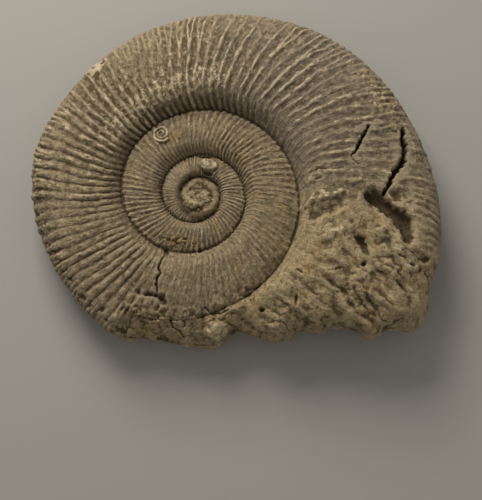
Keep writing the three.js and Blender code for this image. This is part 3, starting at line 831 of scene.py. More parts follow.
@dataclass
class StoneSkin:
    """The stone's closed skin before it is carved: sheets of quads laid along the coil and welded."""

    coil: Coil
    columns: int = 960  # to a turn
    flank_rows: int = 92
    rim_rows: int = 24
    under_rows: int = 38
    middle_rings: int = 16
    fill_rings: int = 30
    join_columns: int = 10  # between the mouth and the start of the uncovered whorl
    innermost: float = -2.3  # the coil's first turn; a lump of rock fills the middle
    foot_share: float = 0.06  # how near the seam the underside ends
    fill_height: float = 7.2  # of the rock in the hollow underneath
    weld: float = 0.002
    slightest: float = 1e-7  # in metres: edges and faces no larger than this are dissolved
    even: float = 0.45  # share of the flank's rows that is spaced evenly; the rest crowd inwards
    rim_part: float = 0.2  # of the underside, which has the rim's closer rows
    rim_drop: float = 6.0  # how far under the middle plane the upper rows may go
    middle_reach: float = 3.5  # of the middle disc's centre from the axis
    fill_part: float = 0.25  # of the way in, over which the rock underneath falls to its height

    def __post_init__(self) -> None:
        """Works out the sections' turns."""
        self.last = round((self.coil.mouth - self.innermost) * self.columns)
        self.open = self.last + self.join_columns - self.columns
        steps = np.arange(self.last + self.join_columns + 1)
        self.turns = self.coil.mouth + (steps - self.last) / self.columns

    def _seam_share(self, turn: Array) -> Array:
        """Where the next whorl's seam crosses a flank."""
        place = np.minimum(turn, self.turns[self.open])
        return self.coil.share(place, self.coil.seam(place + 1))

    def _joined(self, values: Array, target: Array) -> Array:
        """Leads the join's columns from the mouth's section to the target section.

        Args:
            values: Radii or heights, as rows of columns.
            target: The target section's values.

        Returns:
            The values with the join's columns filled in.
        """
        joined = values.copy()
        for step in range(1, self.join_columns + 1):
            part = step / self.join_columns
            joined[:, self.last + step] = blend(values[:, self.last], target, part)
        return joined

    def flank_sheet(self) -> Sheet:
        """Gives the top, with rows from seam to seam.

        Returns:
            Radii, turns and heights.
        """
        part = np.linspace(0, 1, self.flank_rows + 1)[:, None]
        spread = self.even * part + (1 - self.even) * part**2
        turns = self.turns[None, :]
        seam = self.coil.seam(turns)
        share = self._seam_share(turns) * spread
        radius = seam + share * (self.coil.rim(turns) - seam)
        height = self.coil.top(turns, radius)
        height[-1, : -self.columns] = height[0, self.columns :]
        for step in range(1, self.join_columns + 1):
            left = 1 - step / self.join_columns
            k = self.last + step
            inner = k - self.columns
            for values in (radius, height):
                values[:, k] = values[-1, inner] + left * (values[:, self.last] - values[0, self.last])
        return radius, np.broadcast_to(turns, radius.shape), height

    def rim_sheet(self, flank: Sheet) -> Sheet:
        """Gives the rim's and underside's radii, turns and heights, all round the stone.

        Args:
            flank: The flank sheet's radii, turns and heights, whose last row starts this sheet.

        Returns:
            Radii, turns and heights.
        """
        turns = self.turns[None, :]
        seam = self.coil.seam(turns)
        width = self.coil.rim(turns) - seam
        start = self._seam_share(turns)
        over = np.linspace(0, 1, self.rim_rows + 1)[:, None]
        upper = blend(start, 1.0, 1 - (1 - over) ** 2)
        back = np.linspace(0, 1, self.rim_rows + 1)[1:, None]
        lower = 1 - self.rim_part * back**2
        inward_rows = self.under_rows - self.rim_rows + 1
        inward = np.linspace(1 - self.rim_part, self.foot_share, inward_rows)[1:, None]
        lower = np.concatenate([lower, inward]) + 0 * turns
        top = np.maximum(self.coil.flank(turns, upper, 1), self.coil.middle(turns) - self.rim_drop)
        under = np.maximum(self.coil.flank(turns, lower, -1), 0)
        radius = seam + np.concatenate([upper, lower]) * width
        height = np.concatenate([top, under])
        radius = self._joined(radius, radius[:, self.open])
        height = self._joined(height, height[:, self.open])
        radius[0], height[0] = flank[0][-1], flank[2][-1]
        used = slice(self.open, None)
        return radius[:, used], np.broadcast_to(turns, radius.shape)[:, used], height[:, used]

    def _patch(self, loop: Array, centre: Array, rings: int) -> Array:
        """Rings of points from a closed loop in to a centre, as x, y and z in the last axis."""
        part = np.linspace(0, 1, rings + 1)[:, None, None]
        return loop[None] + part * (centre - loop[None])

    def middle_patch(self, flank: Array) -> Array:
        """Gives the disc inside the coil's first turn.

        Args:
            flank: The flank sheet's points.

        Returns:
            Points, as rings from the disc's edge in to its centre.
        """
        loop = np.concatenate([flank[::-1, 0], flank[0, 1 : self.columns + 1]])
        angle = TAU * (self.turns[0] + 0.75)
        centre = self.middle_reach * np.array([math.cos(angle), -math.sin(angle), 0])
        patch = self._patch(loop, centre, self.middle_rings)
        inner_turn, share = self.coil.place(patch[1:, :, 0].ravel(), patch[1:, :, 1].ravel())
        patch[1:, :, 2] = self.coil.flank(inner_turn, share, 1).reshape(patch[1:, :, 2].shape)
        return patch

    def fill_patch(self, foot: Array) -> Array:
        """Gives the rock in the hollow underneath.

        Args:
            foot: The underside's innermost points, which it joins.

        Returns:
            Points, as rings from the foot in to the axis.
        """
        patch = self._patch(foot, np.array([0, 0, self.fill_height]), self.fill_rings)
        part = np.linspace(0, 1, self.fill_rings + 1)[:, None]
        fall = smoothstep(part, 0, self.fill_part)
        patch[:, :, 2] = blend(foot[None, :, 2], self.fill_height, fall)
        return patch

    @staticmethod
    def _points(sheet: Sheet) -> Array:
        """Turns a sheet into points.

        Args:
            sheet: Its radii, turns and heights.

        Returns:
            Places, with x, y and z in the last axis.
        """
        radius, turns, height = sheet
        angle = TAU * turns
        return np.stack([radius * np.cos(angle), -radius * np.sin(angle), height], axis=-1)

    @staticmethod
    def _lay(name: str, points: Array) -> bpy.types.Object:
        """Adds a grid and lays it on the points.

        Args:
            name: The sheet's name.
            points: Places in millimetres, as rows of columns.

        Returns:
            The sheet.
        """
        rows, columns = points.shape[:2]
        bpy.ops.mesh.primitive_grid_add(x_subdivisions=columns - 1, y_subdivisions=rows - 1)
        sheet = bpy.context.active_object
        sheet.name = name
        move_points(sheet, points.reshape(-1, 3) * MILLIMETRE)
        return sheet

    def build(self) -> bpy.types.Object:
        """Lays the sheets, joins and welds them.

        Returns:
            The closed skin.
        """
        bpy.ops.object.select_all(action="DESELECT")
        flank_sheet = self.flank_sheet()
        flank = self._points(flank_sheet)
        rim = self._points(self.rim_sheet(flank_sheet))
        parts = {
            "flank": flank,
            "rim": rim,
            "middle": self.middle_patch(flank),
            "fill": self.fill_patch(rim[-1]),
        }
        sheets = [self._lay(name, points) for name, points in parts.items()]
        for sheet in sheets:
            sheet.select_set(True)
        bpy.context.view_layer.objects.active = sheets[0]
        bpy.ops.object.join()
        skin = bpy.context.active_object
        skin.name = "ammonite_stone"
        skin.data.name = "ammonite_stone"
        bpy.ops.object.mode_set(mode="EDIT")
        bpy.ops.mesh.select_all(action="SELECT")
        bpy.ops.mesh.remove_doubles(threshold=self.weld * MILLIMETRE)
        bpy.ops.mesh.dissolve_degenerate(threshold=self.slightest)
        bpy.ops.mesh.normals_make_consistent(inside=False)
        bpy.ops.mesh.select_all(action="DESELECT")
        bpy.ops.mesh.select_mode(type="VERT")
        bpy.ops.mesh.select_non_manifold()
        bpy.ops.object.mode_set(mode="OBJECT")
        open_points = sum(vertex.select for vertex in skin.data.vertices)
        LOG.info("skin: %d points, %d of them open", len(skin.data.vertices), open_points)
        return skin


@dataclass(frozen=True)
class Grains:
    """Every kind of unevenness that the stone has, by name."""

    outlines: Grain = Grain(3.2, 61)
    crack_sides: Grain = Grain(1.8, 63)
    centre_outlines: Grain = Grain(2.2, 71)
    rib_wander: Grain = Grain(19, 3, 1, height=0.2)
    rib_waver: Grain = Grain(7, 4, height=0.07)
    along_rib: Grain = Grain(1, 5, height=0.5)
    wear: Grain = Grain(20, 11, 3, height=0.5)
    chips: Grain = Grain(3.2, 13, 3, 0.7)
    scratches: Grain = Grain(1, 15, height=0.14)
    seams: Grain = Grain(3, 21, height=0.35)
    seam_breaks: Grain = Grain(8, 23, 1)
    crumbs: Grain = Grain(4.4, 25, 3, 0.6, 1.1)
    beds: Grain = Grain((12, 6, 8), 31, 2, 0.4, 0.45)
    low_beds: Grain = Grain((17, 3.4, 8), 43, height=0.5)
    rock_grit: Grain = Grain(2.4, 33, 2, 0.6, 0.16)
    rock_breaks: Grain = Grain(14, 39, 1)
    bend_along: Grain = Grain(3.5, 35, height=0.8)
    bend_across: Grain = Grain(3.5, 36, height=0.8)
    shell_grit: Grain = Grain(2.4, 51, 3, 0.75, 0.09)
    swell: Grain = Grain(9, 54, 1, height=0.22)
    crusted: Grain = Grain(12, 56, 1)
    crust_grit: Grain = Grain(2.2, 57, 2, 0.6, 0.14)
    crust_knobs: Grain = Grain((2.6, 1.8, 2.0), 58, 3, 0.6, 0.45)
    rim_pits: Grain = Grain(4.0, 59, 3)
    centre_lumps: Grain = Grain(2.6, 73, 3, 0.6, 0.3)
    plate_ridges: Grain = Grain((3.4, 1.7, 3), 75, height=0.6)
    centre_pits: Grain = Grain(2.2, 77, height=0.7)
    under_earth: Grain = Grain(20, 81)
    under_crust: Grain = Grain(16, 83)
    packed_lumps: Grain = Grain((12, 9, 9), 91, 3, 0.55, 1.3)
    packed_grit: Grain = Grain(2.4, 95, 2, 0.6, 0.25)


@dataclass(frozen=True)
class Wear:
    """How far the ribs are worn down, as shares of their height."""

    left: float = 0.8  # on average
    left_range: Pair = (0.25, 1.15)
    chipped: float = 0.7  # the most that a chip takes off
    bare: float = 0.62  # taken off the inner whorl beside the broken end
    bare_turns: tuple[Pair, Pair] = ((-1.03, -0.95), (-0.68, -0.66))
    smoothed: float = 0.45  # taken off round one place on the inner whorls
    smooth_turn: float = -1.3
    smooth_reach: float = 0.07
    under: float = 0.6  # left on the underside
    rim: float = 0.4  # taken off at the rim
    rim_share: Pair = (0.9, 0.985)


@dataclass
class Carving:
    """Carves the welded skin: ribs, seams, rock, forms, cracks and grain."""

    coil: Coil
    ribs: Ribs = field(default_factory=Ribs)
    grains: Grains = Grains()
    wear: Wear = Wear()
    stray: float = 0.5  # how far outlines stray
    stray_turns: float = 0.004
    stray_share: float = 0.06
    facing_up: float = 0.15  # a point that leans up by this much counts as the top
    slab_reach: float = 0.036  # turns by which the outermost ribs go on past the others
    slab_share: Pair = (0.74, 0.84)
    clinging_turns: tuple[Pair, Pair] = ((-0.93, -0.87), (-0.68, -0.66))
    clinging_share: Pair = (0.82, 0.93)  # rock clings to the inner whorl beside the broken end
    clinging: float = 0.9
    filled_at: Pair = (1.4, -1.8)  # middle of the rock that fills the coil's middle
    filled_edge: Pair = (7.6, 9.8)
    packed_edge: Pair = (0.05, 0.13)  # share up to which the hollow underneath is packed
    late_turns: Pair = (-0.46, -0.36)  # up to which ribs fork late
    groove_level: float = 0.6  # share of a rib's height at which the skin stays as it was
    wall_share: Pair = (0.03, 0.24)  # over which the ribs rise from the wall to the flank
    streak: tuple[float, float, float] = (0.27, 4.5, 9)  # width in ribs, length and depth
    seam_width: float = 0.6
    groove_depth: float = 0.5
    broken_groove: float = 0.55  # of its depth, where it is broken
    silt_width: float = 1.7  # of what fills the corner along a seam
    silt_height: float = 0.8
    full_radius: float = 30.0  # nearer the axis than this, groove and silt get smaller
    cover_end: float = 0.985  # turns back from the mouth up to which a whorl is covered
    covered_turns: Pair = (0.05, 0.14)  # over which rock comes to cover the seam
    crumbled_turns: Pair = (0.1, 0.17)  # over which crumbled rock comes to lie along it
    crumbled_reach: Pair = (5.0, 4.0)  # outwards from the seam and inwards
    bedding: float = -36.0  # degrees, the way that the rock's lumps run
    block: Pair = (8.6, 4.2)
    chip: Pair = (3.8, 2.1)
    block_seed: int = 37
    chip_seed: int = 41
    chip_height: float = 0.4  # as a share of a block's
    block_gap: float = 0.3  # in blocks, as the slope is
    block_slope: float = 0.35
    block_height: float = 0.9
    gap_depth: float = 0.45
    solid_rock: float = 0.3  # how much the blocks show where the rock isn't broken
    blocks_share: Pair = (0.3, 0.55)  # over which they come in
    belt_calm: float = 0.6  # how much calmer the low belt is
    form_calm: float = 0.85  # how much calmer the smooth places are
    hills: tuple[Rolls, Rolls] = (
        Rolls((0.31, 0.12, 1), (-0.14, 0.27, 2), 0.6),
        Rolls((0.66, -0.2, 0), (0.29, 0.58, 0.5), 0.3),
    )
    low_turns: Pair = (0.03, 0.09)  # from which the rock splits into long beds
    belt_turns: Pair = (0.14, 0.19)  # from which it is a low belt with few blocks
    calm_turns: Pair = (0.15, 0.19)  # from which the belt is calm by the seam
    pitted_turns: tuple[Pair, Pair] = ((-0.72, -0.66), (-0.48, -0.42))  # pits along the rim
    pitted_share: Pair = (0.84, 0.93)
    pit_depth: float = 0.8
    under_rough: float = 0.5  # grain left on the underside
    beside_mouth: Pair = (3, 14)  # distance over which the broken end's lumps fade underneath
    beside_from: float = 1.5  # height over the ground from which they show
    plate_form: Form = Form(-0.2, -2.7, 13.0, 9.4, 6, 1.6, 0.16, 0.2)
    shelf_form: Form = Form(5.4, -5.4, 9.0, 8.6, -50, 1.1, 0.3, 0.2)
    pitted_form: Form = Form(1.6, 5.0, 13.0, 5.4, -4, 0.5, 0.9, 0.2)
    boss_form: Form = Form(5.0, 13.3, 10.2, 6.2, -8, 1.5, 0.3, 0.08)
    foot_form: Form = Form(5.4, 13.4, 14.0, 10.4, -8, 0.4, 0.3, 0.12)
    moat_forms: tuple[Form, Form] = (  # the grooves at the boss's sides
        Form(4.2, 17.1, 9.4, 1.9, -4, 1.0, 0.8, 0.12),
        Form(4.6, 9.5, 6.4, 1.9, -16, 1.0, 0.8, 0.12),
    )
    moat_depth: float = 1.9
    shelf_cover: float = 0.7  # how much of the silt the shelf keeps off
    ridge_level: float = 0.2
    middle_level: float = 20.7  # of the rock in the middle of the coil
    worm_place: Pair = (-16.2, 27.2)
    worm_coils: tuple[Pair, Pair] = ((0.8, 0.5), (2.4, 0.75))  # start radius and half width
    worm_step: float = 1.6  # from one coil of it to the next
    worm_start: float = 0.1  # in turns
    worm_height: float = 0.7
    worm_rise: float = 0.5  # along its outer coil
    worm_reach: float = 5.0
    resting: float = 0.05  # a point of the underside no higher than this lies on the ground

    def read(self, skin: bpy.types.Object) -> None:
        """Keeps the skin's points, normals and places on the coil, and what each point is made of.

        Args:
            skin: The welded skin.
        """
        self.points = read_points(skin) / MILLIMETRE
        self.normals = read_normals(skin)
        self.x, self.y, self.z = self.points.T
        self.turn, self.share = self.coil.place(self.x, self.y)
        self.radius = np.hypot(self.x, self.y)
        self.up = self.z > self.coil.middle(self.turn)
        self.up |= self.normals[:, 2] > self.facing_up
        self.ragged = self.grains.outlines.at(self.points)
        reach = self.slab_reach * smoothstep(self.share, *self.slab_share)
        self.rock = self.coil.rock(self.turn - reach + self.stray_turns * self.ragged)
        self.shell = 1 - self.rock
        strip = smoothstep(self.share + self.stray_share * self.ragged, *self.clinging_share)
        self.shell *= 1 - self.clinging * between(self.turn, *self.clinging_turns) * strip
        from_middle = np.hypot(self.x - self.filled_at[0], self.y - self.filled_at[1])
        self.filled = 1 - smoothstep(from_middle + self.stray * self.ragged, *self.filled_edge)
        self.filled *= self.up
        self.shell *= 1 - self.filled
        outer = smoothstep(self.share, *self.packed_edge) * (self.turn > self.coil.mouth - 1)
        self.packed = (1 - outer) * ~self.up
        self.shell *= 1 - self.packed

    def rib_relief(self) -> Array:
        """Gives the ribs, with fine scratches along them, on the shell only.

        Returns:
            Heights at the points.
        """
        ribs, grains = self.ribs, self.grains
        wander = grains.rib_wander.at(self.points) + grains.rib_waver.at(self.points)
        count = ribs.count(self.turn - ribs.lean(self.turn, self.share)) + wander
        self.lane = count
        number = np.floor(count)
        along = np.column_stack([1.7 * number, self.radius / ribs.patch, 0 * count])
        own = ribs.own_height(number) * (1 + grains.along_rib.at(along))
        late = ribs.late_forks * (1 - smoothstep(self.turn, *self.late_turns))
        fork = np.where(self.turn > ribs.even_from, self.share - late, 0)
        shape = ribs.profile(count, fork, ribs.sharpened(self.turn, self.share)) * own
        strength = self.rib_strength()
        self.crest = np.clip(shape**1.5 * strength, 0, 1)
        self.ribbed = np.clip(shape, 0, 1) * self.shell
        inwards = np.minimum(1, (self.coil.seam(self.turn) / self.coil.seam_radius) ** 0.6)
        relief = ribs.height(self.turn) * inwards * strength * (shape - self.groove_level)
        return relief + grains.scratches.at(self.streaks()) * self.shell

    def rib_strength(self) -> Array:
        """Gives how much of the ribs is left by wear, chips and rock.

        Returns:
            Shares of their height, of up to a little over 1.
        """
        grains, wear = self.grains, self.wear
        shown = blend(self.ribs.on_wall(self.turn), 1, smoothstep(self.share, *self.wall_share))
        worn = np.clip(wear.left + grains.wear.at(self.points), *wear.left_range)
        chips = 1 - wear.chipped * smoothstep(grains.chips.at(self.points), 0.1, 0.7)
        bare = 1 - wear.bare * between(self.turn, *wear.bare_turns)
        smooth = 1 - wear.smoothed * hump(self.turn - wear.smooth_turn, wear.smooth_reach)
        under = np.where(self.up, 1.0, wear.under)
        rim = 1 - wear.rim * smoothstep(self.share, *wear.rim_share)
        away = 1 - self.spread(WORN) * self.up
        return shown * worn * chips * bare * smooth * under * rim * away * self.shell

    def streaks(self) -> Array:
        """Places for fine noise that runs along the ribs."""
        return np.column_stack([self.lane, self.radius, self.z]) / self.streak

    def seam_relief(self) -> Array:
        """Gives the groove and silt along the seams, on top, with crumbled rock over them.

        Returns:
            Heights at the points.
        """
        wander = self.grains.seams.at(self.points)
        next_turn = self.turn + 1
        covers = self.turn < self.coil.mouth - self.cover_end
        from_own = self.radius - self.coil.seam(self.turn) + wander
        to_next = self.coil.seam(next_turn) - self.radius + wander
        outwards, inwards = self.crumbled_reach
        own = self._seam_bed(from_own, self.turn, outwards)
        following = self._seam_bed(to_next, next_turn, inwards)
        parts = (np.maximum(a, b * covers) * self.up for a, b in zip(own, following))
        self.seam_depth, silt, self.crumbled = parts
        small = np.minimum(1, self.radius / self.full_radius)
        lumps = self.grains.crumbs.at(self.points) * self.crumbled
        bed = self.silt_height * silt - self.groove_depth * self.seam_depth
        return small * bed + lumps

    def _seam_bed(self, away: Array, turn: Array, reach: float) -> tuple[Array, Array, Array]:
        """Gives what lies along one seam.

        Args:
            away: How far the points are from the seam.
            turn: Where along the seam.
            reach: How far the crumbled rock spreads.

        Returns:
            Shares of groove, of silt in the corner and of crumbled rock.
        """
        covered = smoothstep(turn, *self.covered_turns)
        breaks = smoothstep(self.grains.seam_breaks.at(self.points), -0.4, 0.2)
        groove = blend(self.broken_groove, 1.0, breaks) * (1 - 0.95 * covered)
        groove *= hump(away, self.seam_width)
        silt = hump(away, self.silt_width) * (1 - covered)
        return groove, silt, smoothstep(turn, *self.crumbled_turns) * hump(away, reach)

    def rock_relief(self) -> Array:
        """Gives the broken lumps and blocks of the rock.

        Returns:
            Heights at the points.
        """
        grains = self.grains
        bedded = self._along_bed()
        beds = grains.beds.at(bedded)
        beds += grains.low_beds.at(bedded) * smoothstep(self.turn, *self.low_turns)
        beds += grains.rock_grit.at(self.points)
        bends = [grains.bend_along.at(self.points), grains.bend_across.at(self.points)]
        bent = bedded[:, :2] + np.column_stack(bends)
        large, gaps = self._blocks(bent, self.block, self.block_seed)
        small = self._blocks(bent, self.chip, self.chip_seed)[0]
        in_belt = smoothstep(self.turn, *self.belt_turns)
        blocks = (large + self.chip_height * small) * (1 - self.belt_calm * in_belt)
        breaks = smoothstep(grains.rock_breaks.at(self.points), -0.3, 0.15)
        broken = blend(self.solid_rock, 1, breaks) * smoothstep(self.share, *self.blocks_share)
        belt = smoothstep(self.turn, *self.calm_turns) * (1 - smoothstep(self.share, 0.5, 0.8))
        calm = (1 - self.belt_calm * belt) * (1 - self.form_calm * self.spread(CALM))
        self.gaps = gaps * broken * calm * self.rock * self.up * (1 - in_belt)
        broad, close = (rolls.at(self.x, self.y) for rolls in self.hills)
        relief = broad + close + (beds + blocks * broken) * calm
        return relief * self.rock * smoothstep(self.share, 0, 0.22)

    def _blocks(self, places: Array, size: Pair, seed: int) -> tuple[Array, Array]:
        """Gives blocks with tilted tops.

        Args:
            places: Places along and across the bedding, one a row.
            size: A block's length and width.
            seed: Which blocks.

        Returns:
            Heights, and how much each point is in a gap between blocks.
        """
        inside, top = Noise.blocks(places / size, seed)
        gap = 1 - smoothstep(inside, 0, self.block_gap)
        tops = self.block_height * top * smoothstep(inside, 0, self.block_slope)
        return tops - self.gap_depth * gap, gap

    def _along_bed(self) -> Array:
        """The points turned so that the first axis runs along the rock's bedding."""
        return np.column_stack([*turned(self.x, self.y, self.bedding), self.z])

    def over(self, form: Form, wander: Array) -> Array:
        """A form's height over the points."""
        return form.height * form.shape(self.x, self.y, wander)

    def spread(self, forms: tuple[Form, ...]) -> Array:
        """How much of some forms each point has, from 0 to the forms' own strengths."""
        return np.maximum.reduce([0 * self.x, *(self.over(form, self.ragged) for form in forms)])

    def grain(self) -> Array:
        """Gives fine roughness all over, crust on the outer flank and pits along the left rim.

        Returns:
            Heights at the points.
        """
        grains = self.grains
        crusted = smoothstep(grains.crusted.at(self.points), -0.1, 0.35)
        outer = (self.turn > -0.9) * smoothstep(self.share, 0.3, 0.75) * (1 - 0.6 * self.rock)
        crust = grains.crust_grit.at(self.points) * crusted * outer
        crust += grains.crust_knobs.at(self.points) * self.spread(CRUST)
        rim = between(self.turn, *self.pitted_turns) * smoothstep(self.share, *self.pitted_share)
        self.pitted = rim * smoothstep(grains.rim_pits.at(self.points), 0.1, 0.7)
        rough = grains.shell_grit.at(self.points) + crust
        rough *= np.where(self.up, 1, self.under_rough)
        return rough + grains.swell.at(self.points) - self.pit_depth * self.pitted

    def packed_relief(self) -> Array:
        """Gives lumps of the rock packed into the hollow underneath and of the broken end there.

        Returns:
            Heights at the points.
        """
        turns_off = np.abs((self.turn - self.coil.mouth + 0.5) % 1 - 0.5)
        beside = 1 - smoothstep(turns_off * TAU * self.radius, *self.beside_mouth)
        beside *= ~self.up & (self.z > self.beside_from)
        lumps = self.grains.packed_lumps.at(self.points) + self.grains.packed_grit.at(self.points)
        return lumps * np.maximum(self.packed, beside)

    def form_relief(self) -> Array:
        """Gives the lumps, hollows and cracks, straight up or down, on top only.

        Returns:
            Heights at the points.
        """
        jagged = self.grains.crack_sides.at(self.points)
        raised = sum(self.over(form, self.ragged) for form in LUMPS)
        cuts = [-crack.depth * crack.shape(self.x, self.y, jagged) for crack in CRACKS]
        cuts += [self.over(form, self.ragged) for form in HOLLOWS]
        deep = np.minimum.reduce([0 * self.x, *cuts])
        # kept for the finish, which darkens hollows by their depth as painted shade and earth
        self.deep = -deep * self.up
        return (raised + deep) * self.up

    def centre_relief(self) -> Array:
        """Gives the rock in the middle of the coil, its plate and pits, and the boss by it.

        Returns:
            Heights at the points.
        """
        grains = self.grains
        wander = grains.centre_outlines.at(self.points)
        forms = (self.plate_form, self.shelf_form, self.pitted_form, self.boss_form, self.foot_form)
        shares = (form.shape(self.x, self.y, wander) for form in forms)
        plate, shelf, pitted, self.boss, foot = shares
        moats = np.maximum(*(form.shape(self.x, self.y, wander) for form in self.moat_forms))
        # kept for the finish, which paints shade in these grooves
        self.moats = moats * self.up
        self.plate = plate * self.up
        self.silted = self.filled * (1 - np.maximum(plate, self.shelf_cover * shelf))
        level = self.middle_level + grains.centre_lumps.at(self.points)
        ridges = np.abs(grains.plate_ridges.at(self._along_bed())) - self.ridge_level
        plates = np.maximum(
            plate * (self.plate_form.height + ridges), self.shelf_form.height * shelf
        )
        raised = plates + self.foot_form.height * foot + self.boss_form.height * self.boss
        holes = np.maximum(0, grains.centre_pits.at(self.points))
        pits = pitted * (self.pitted_form.height + holes)
        return self.filled * (level - self.z) + (raised - self.moat_depth * moats - pits) * self.up

    def worm_relief(self) -> Array:
        """Gives the small coiled worm tube grown on the shell.

        Returns:
            Heights at the points.
        """
        x = self.x - self.worm_place[0]
        y = self.y - self.worm_place[1]
        far = np.hypot(x, y)
        part = (np.arctan2(y, x) / TAU + self.worm_start) % 1
        relief = np.zeros(len(x))
        for turn, (radius, tube) in enumerate(self.worm_coils):
            line = radius + self.worm_step * part
            body = np.maximum(0, 1 - ((far - line) / tube) ** 2)
            height = self.worm_height + self.worm_rise * turn * part
            relief = np.maximum(relief, height * np.sqrt(body))
        relief *= self.up * (far < self.worm_reach)
        self.worm = np.minimum(1, relief)
        return relief

    def carve(self, skin: bpy.types.Object) -> None:
        """Moves the skin's points.

        Args:
            skin: The welded skin.
        """
        self.read(skin)
        out = self.rib_relief() + self.rock_relief() + self.grain() + self.packed_relief()
        up = self.form_relief() + self.centre_relief() + self.worm_relief() + self.seam_relief()
        moved = self.points + out[:, None] * self.normals
        moved[:, 2] += up
        moved[~self.up & (self.z < self.resting), 2] = 0
        moved[:, 2] = np.maximum(moved[:, 2], 0)
        moved[:, :2] += COIL_AXIS
        move_points(skin, moved * MILLIMETRE)


@dataclass
class Weathering:
    """What time did to the stone's colour, and painted shade in its walls, grooves and hollows, kept on
    its points for the finish to read.
    """

    carving: Carving
    wall_shade_by_turn: SmoothCurve = SmoothCurve(  # painted shade and earth up the outer whorl's inner wall, most where it faces away from the light
        (
            (-1.1, 0.1), (-0.9, 0.25), (-0.72, 0.3), (-0.5, 0.45), (-0.43, 0.8), (-0.38, 1.0),
            (-0.2, 1.0), (-0.13, 0.6), (-0.05, 0.25), (0.02, 0.05),
        )
    )
    # painted shade and earth in the rib grooves, by where along the coil
    groove_shade_and_earth: SmoothCurve = SmoothCurve(
        (
            (-1.6, 0.3), (-1, 0.16), (-0.7, 0.35), (-0.62, 0.5), (-0.45, 0.55), (-0.36, 0.4),
            (-0.2, 0.2), (0, 0.25),
        )
    )
    grey_flank: SmoothCurve = SmoothCurve(
        (
            (-1.4, 0.5), (-1, 0.2), (-0.7, 0.3), (-0.42, 0.15), (-0.28, 0.35), (-0.2, 0.8),
            (-0.08, 1.0), (0, 0.6), (0.05, 0),
        )
    )
    bright_crests: SmoothCurve = SmoothCurve(
        (
            (-1.5, 0.72), (-1.0, 0.55), (-0.9, 0.5), (-0.7, 0.5), (-0.5, 0.6), (-0.38, 0.9),
            (-0.3, 1.0), (-0.12, 1.0), (0, 0.75),
        )
    )
    hollow_shade_and_earth: float = 0.85
    hollow_depths: Pair = (0.3, 5.0)  # over which a hollow gets darker with depth: painted shade and earth
    seam_earth: Pair = (0.35, 0.6)  # along the inner seams and the outer one
    seam_radii: Pair = (20, 45)
    wall_shade_and_earth: float = 0.85
    wall_share: Pair = (0.03, 0.2)
    wall_ribs: float = 0.75  # how much the ribs keep it off the wall
    pit_earth: float = 0.5
    crumb_earth: float = 0.3
    silt_earth: float = 0.36
    gap_earth: float = 0.4
    under_earth: float = 0.2
    flecks: float = 0.57
    flecks_from: float = -0.46
    flecks_to: float = -0.18
    flecks_fade: float = 0.05
    flecks_across: tuple[Pair, Pair] = ((0.08, 0.16), (0.3, 0.5))
    shell_crust: float = 0.14
    shell_from: float = -0.9  # turn from which the shell has it
    shoulder_crust: float = 0.1
    shoulder: Pair = (0.3, 0.6)
    boss_crust: float = 0.6
    plate_crust: float = 0.62
    worm_crust: float = 0.9
    under_crust: float = 0.35
    side_iron: float = 0.6
    side_heights: Pair = (4, 20)  # over which it fades upwards
    side_share: Pair = (0.7, 0.9)
    inner_iron: float = 0.3
    rock_iron: float = 0.3
    iron_from: float = 0.3  # share from which the stains reach outwards

    def dirt_and_shade(self) -> Array:
        """Gives dark earth and painted shade in hollows and grooves, along the seams, up the inner walls
        and in stains.

        Returns:
            How much of it each point has, from 0 to 1.
        """
        carving = self.carving
        outer = smoothstep(carving.radius, *self.seam_radii)
        # painted shade up the inner wall where it faces away from the light, with some earth
        wall = (1 - smoothstep(carving.share, *self.wall_share)) * self.wall_shade_by_turn(carving.turn)
        wall *= carving.up * (1 - self.wall_ribs * carving.ribbed)
        parts = [
            # painted shade and earth in the rib grooves
            self.groove_shade_and_earth(carving.turn) * (1 - carving.ribbed) * carving.shell,
            # painted shade deepening with a hollow's depth, with earth
            self.hollow_shade_and_earth * smoothstep(carving.deep, *self.hollow_depths),
            blend(*self.seam_earth, outer) * carving.seam_depth,
            self.wall_shade_and_earth * wall,
            self.pit_earth * carving.pitted,
            self.crumb_earth * carving.crumbled,
            self.silt_earth * carving.silted,
            self.gap_earth * carving.gaps,
            # painted shade in the grooves beside the boss
            carving.moats,
            carving.spread(EARTH_AND_SHADE_PATCHES),
        ]
        patches = smoothstep(carving.grains.under_earth.at(carving.points), -0.3, 0.6)
        return np.where(carving.up, np.maximum.reduce(parts), self.under_earth * patches)

    def crest(self) -> Array:
        """Worn, bright crests."""
        return self.carving.crest * self.bright_crests(self.carving.turn)

    def pale(self) -> Array:
        """Gives pale crust and the whitish flecks on the outer whorl's shoulder.

        Returns:
            How much of it each point has, from 0 to 1.
        """
        carving = self.carving
        turn, share = carving.turn, carving.share
        rise = (self.flecks_from, self.flecks_from + self.flecks_fade)
        fall = (self.flecks_to - self.flecks_fade, self.flecks_to)
        along = between(turn, rise, fall)
        parts = [
            self.flecks * along * between(share, *self.flecks_across),
            self.shell_crust * (turn > self.shell_from)
            + self.shoulder_crust * along * smoothstep(share, *self.shoulder),
            self.worm_crust * carving.worm,
            self.boss_crust * carving.boss,
            self.plate_crust * carving.plate,
            carving.spread(PALE),
        ]
        patches = smoothstep(carving.grains.under_crust.at(carving.points), 0.1, 0.8)
        return np.where(carving.up, np.maximum.reduce(parts), self.under_crust * patches)

    def ochre(self) -> Array:
        """Gives iron stains at the rim, in the rock and low on the broken sides.

        Returns:
            How much of them each point has, from 0 to 1.
        """
        carving = self.carving
        low = 1 - smoothstep(carving.z, *self.side_heights)
        parts = [
            carving.spread(OCHRE) * (carving.share > self.iron_from),
            self.side_iron * low * smoothstep(carving.share, *self.side_share),
            self.inner_iron * smoothstep(-carving.turn, 0.7, 0.85),
            self.rock_iron * carving.rock,
        ]
        return np.maximum.reduce(parts)

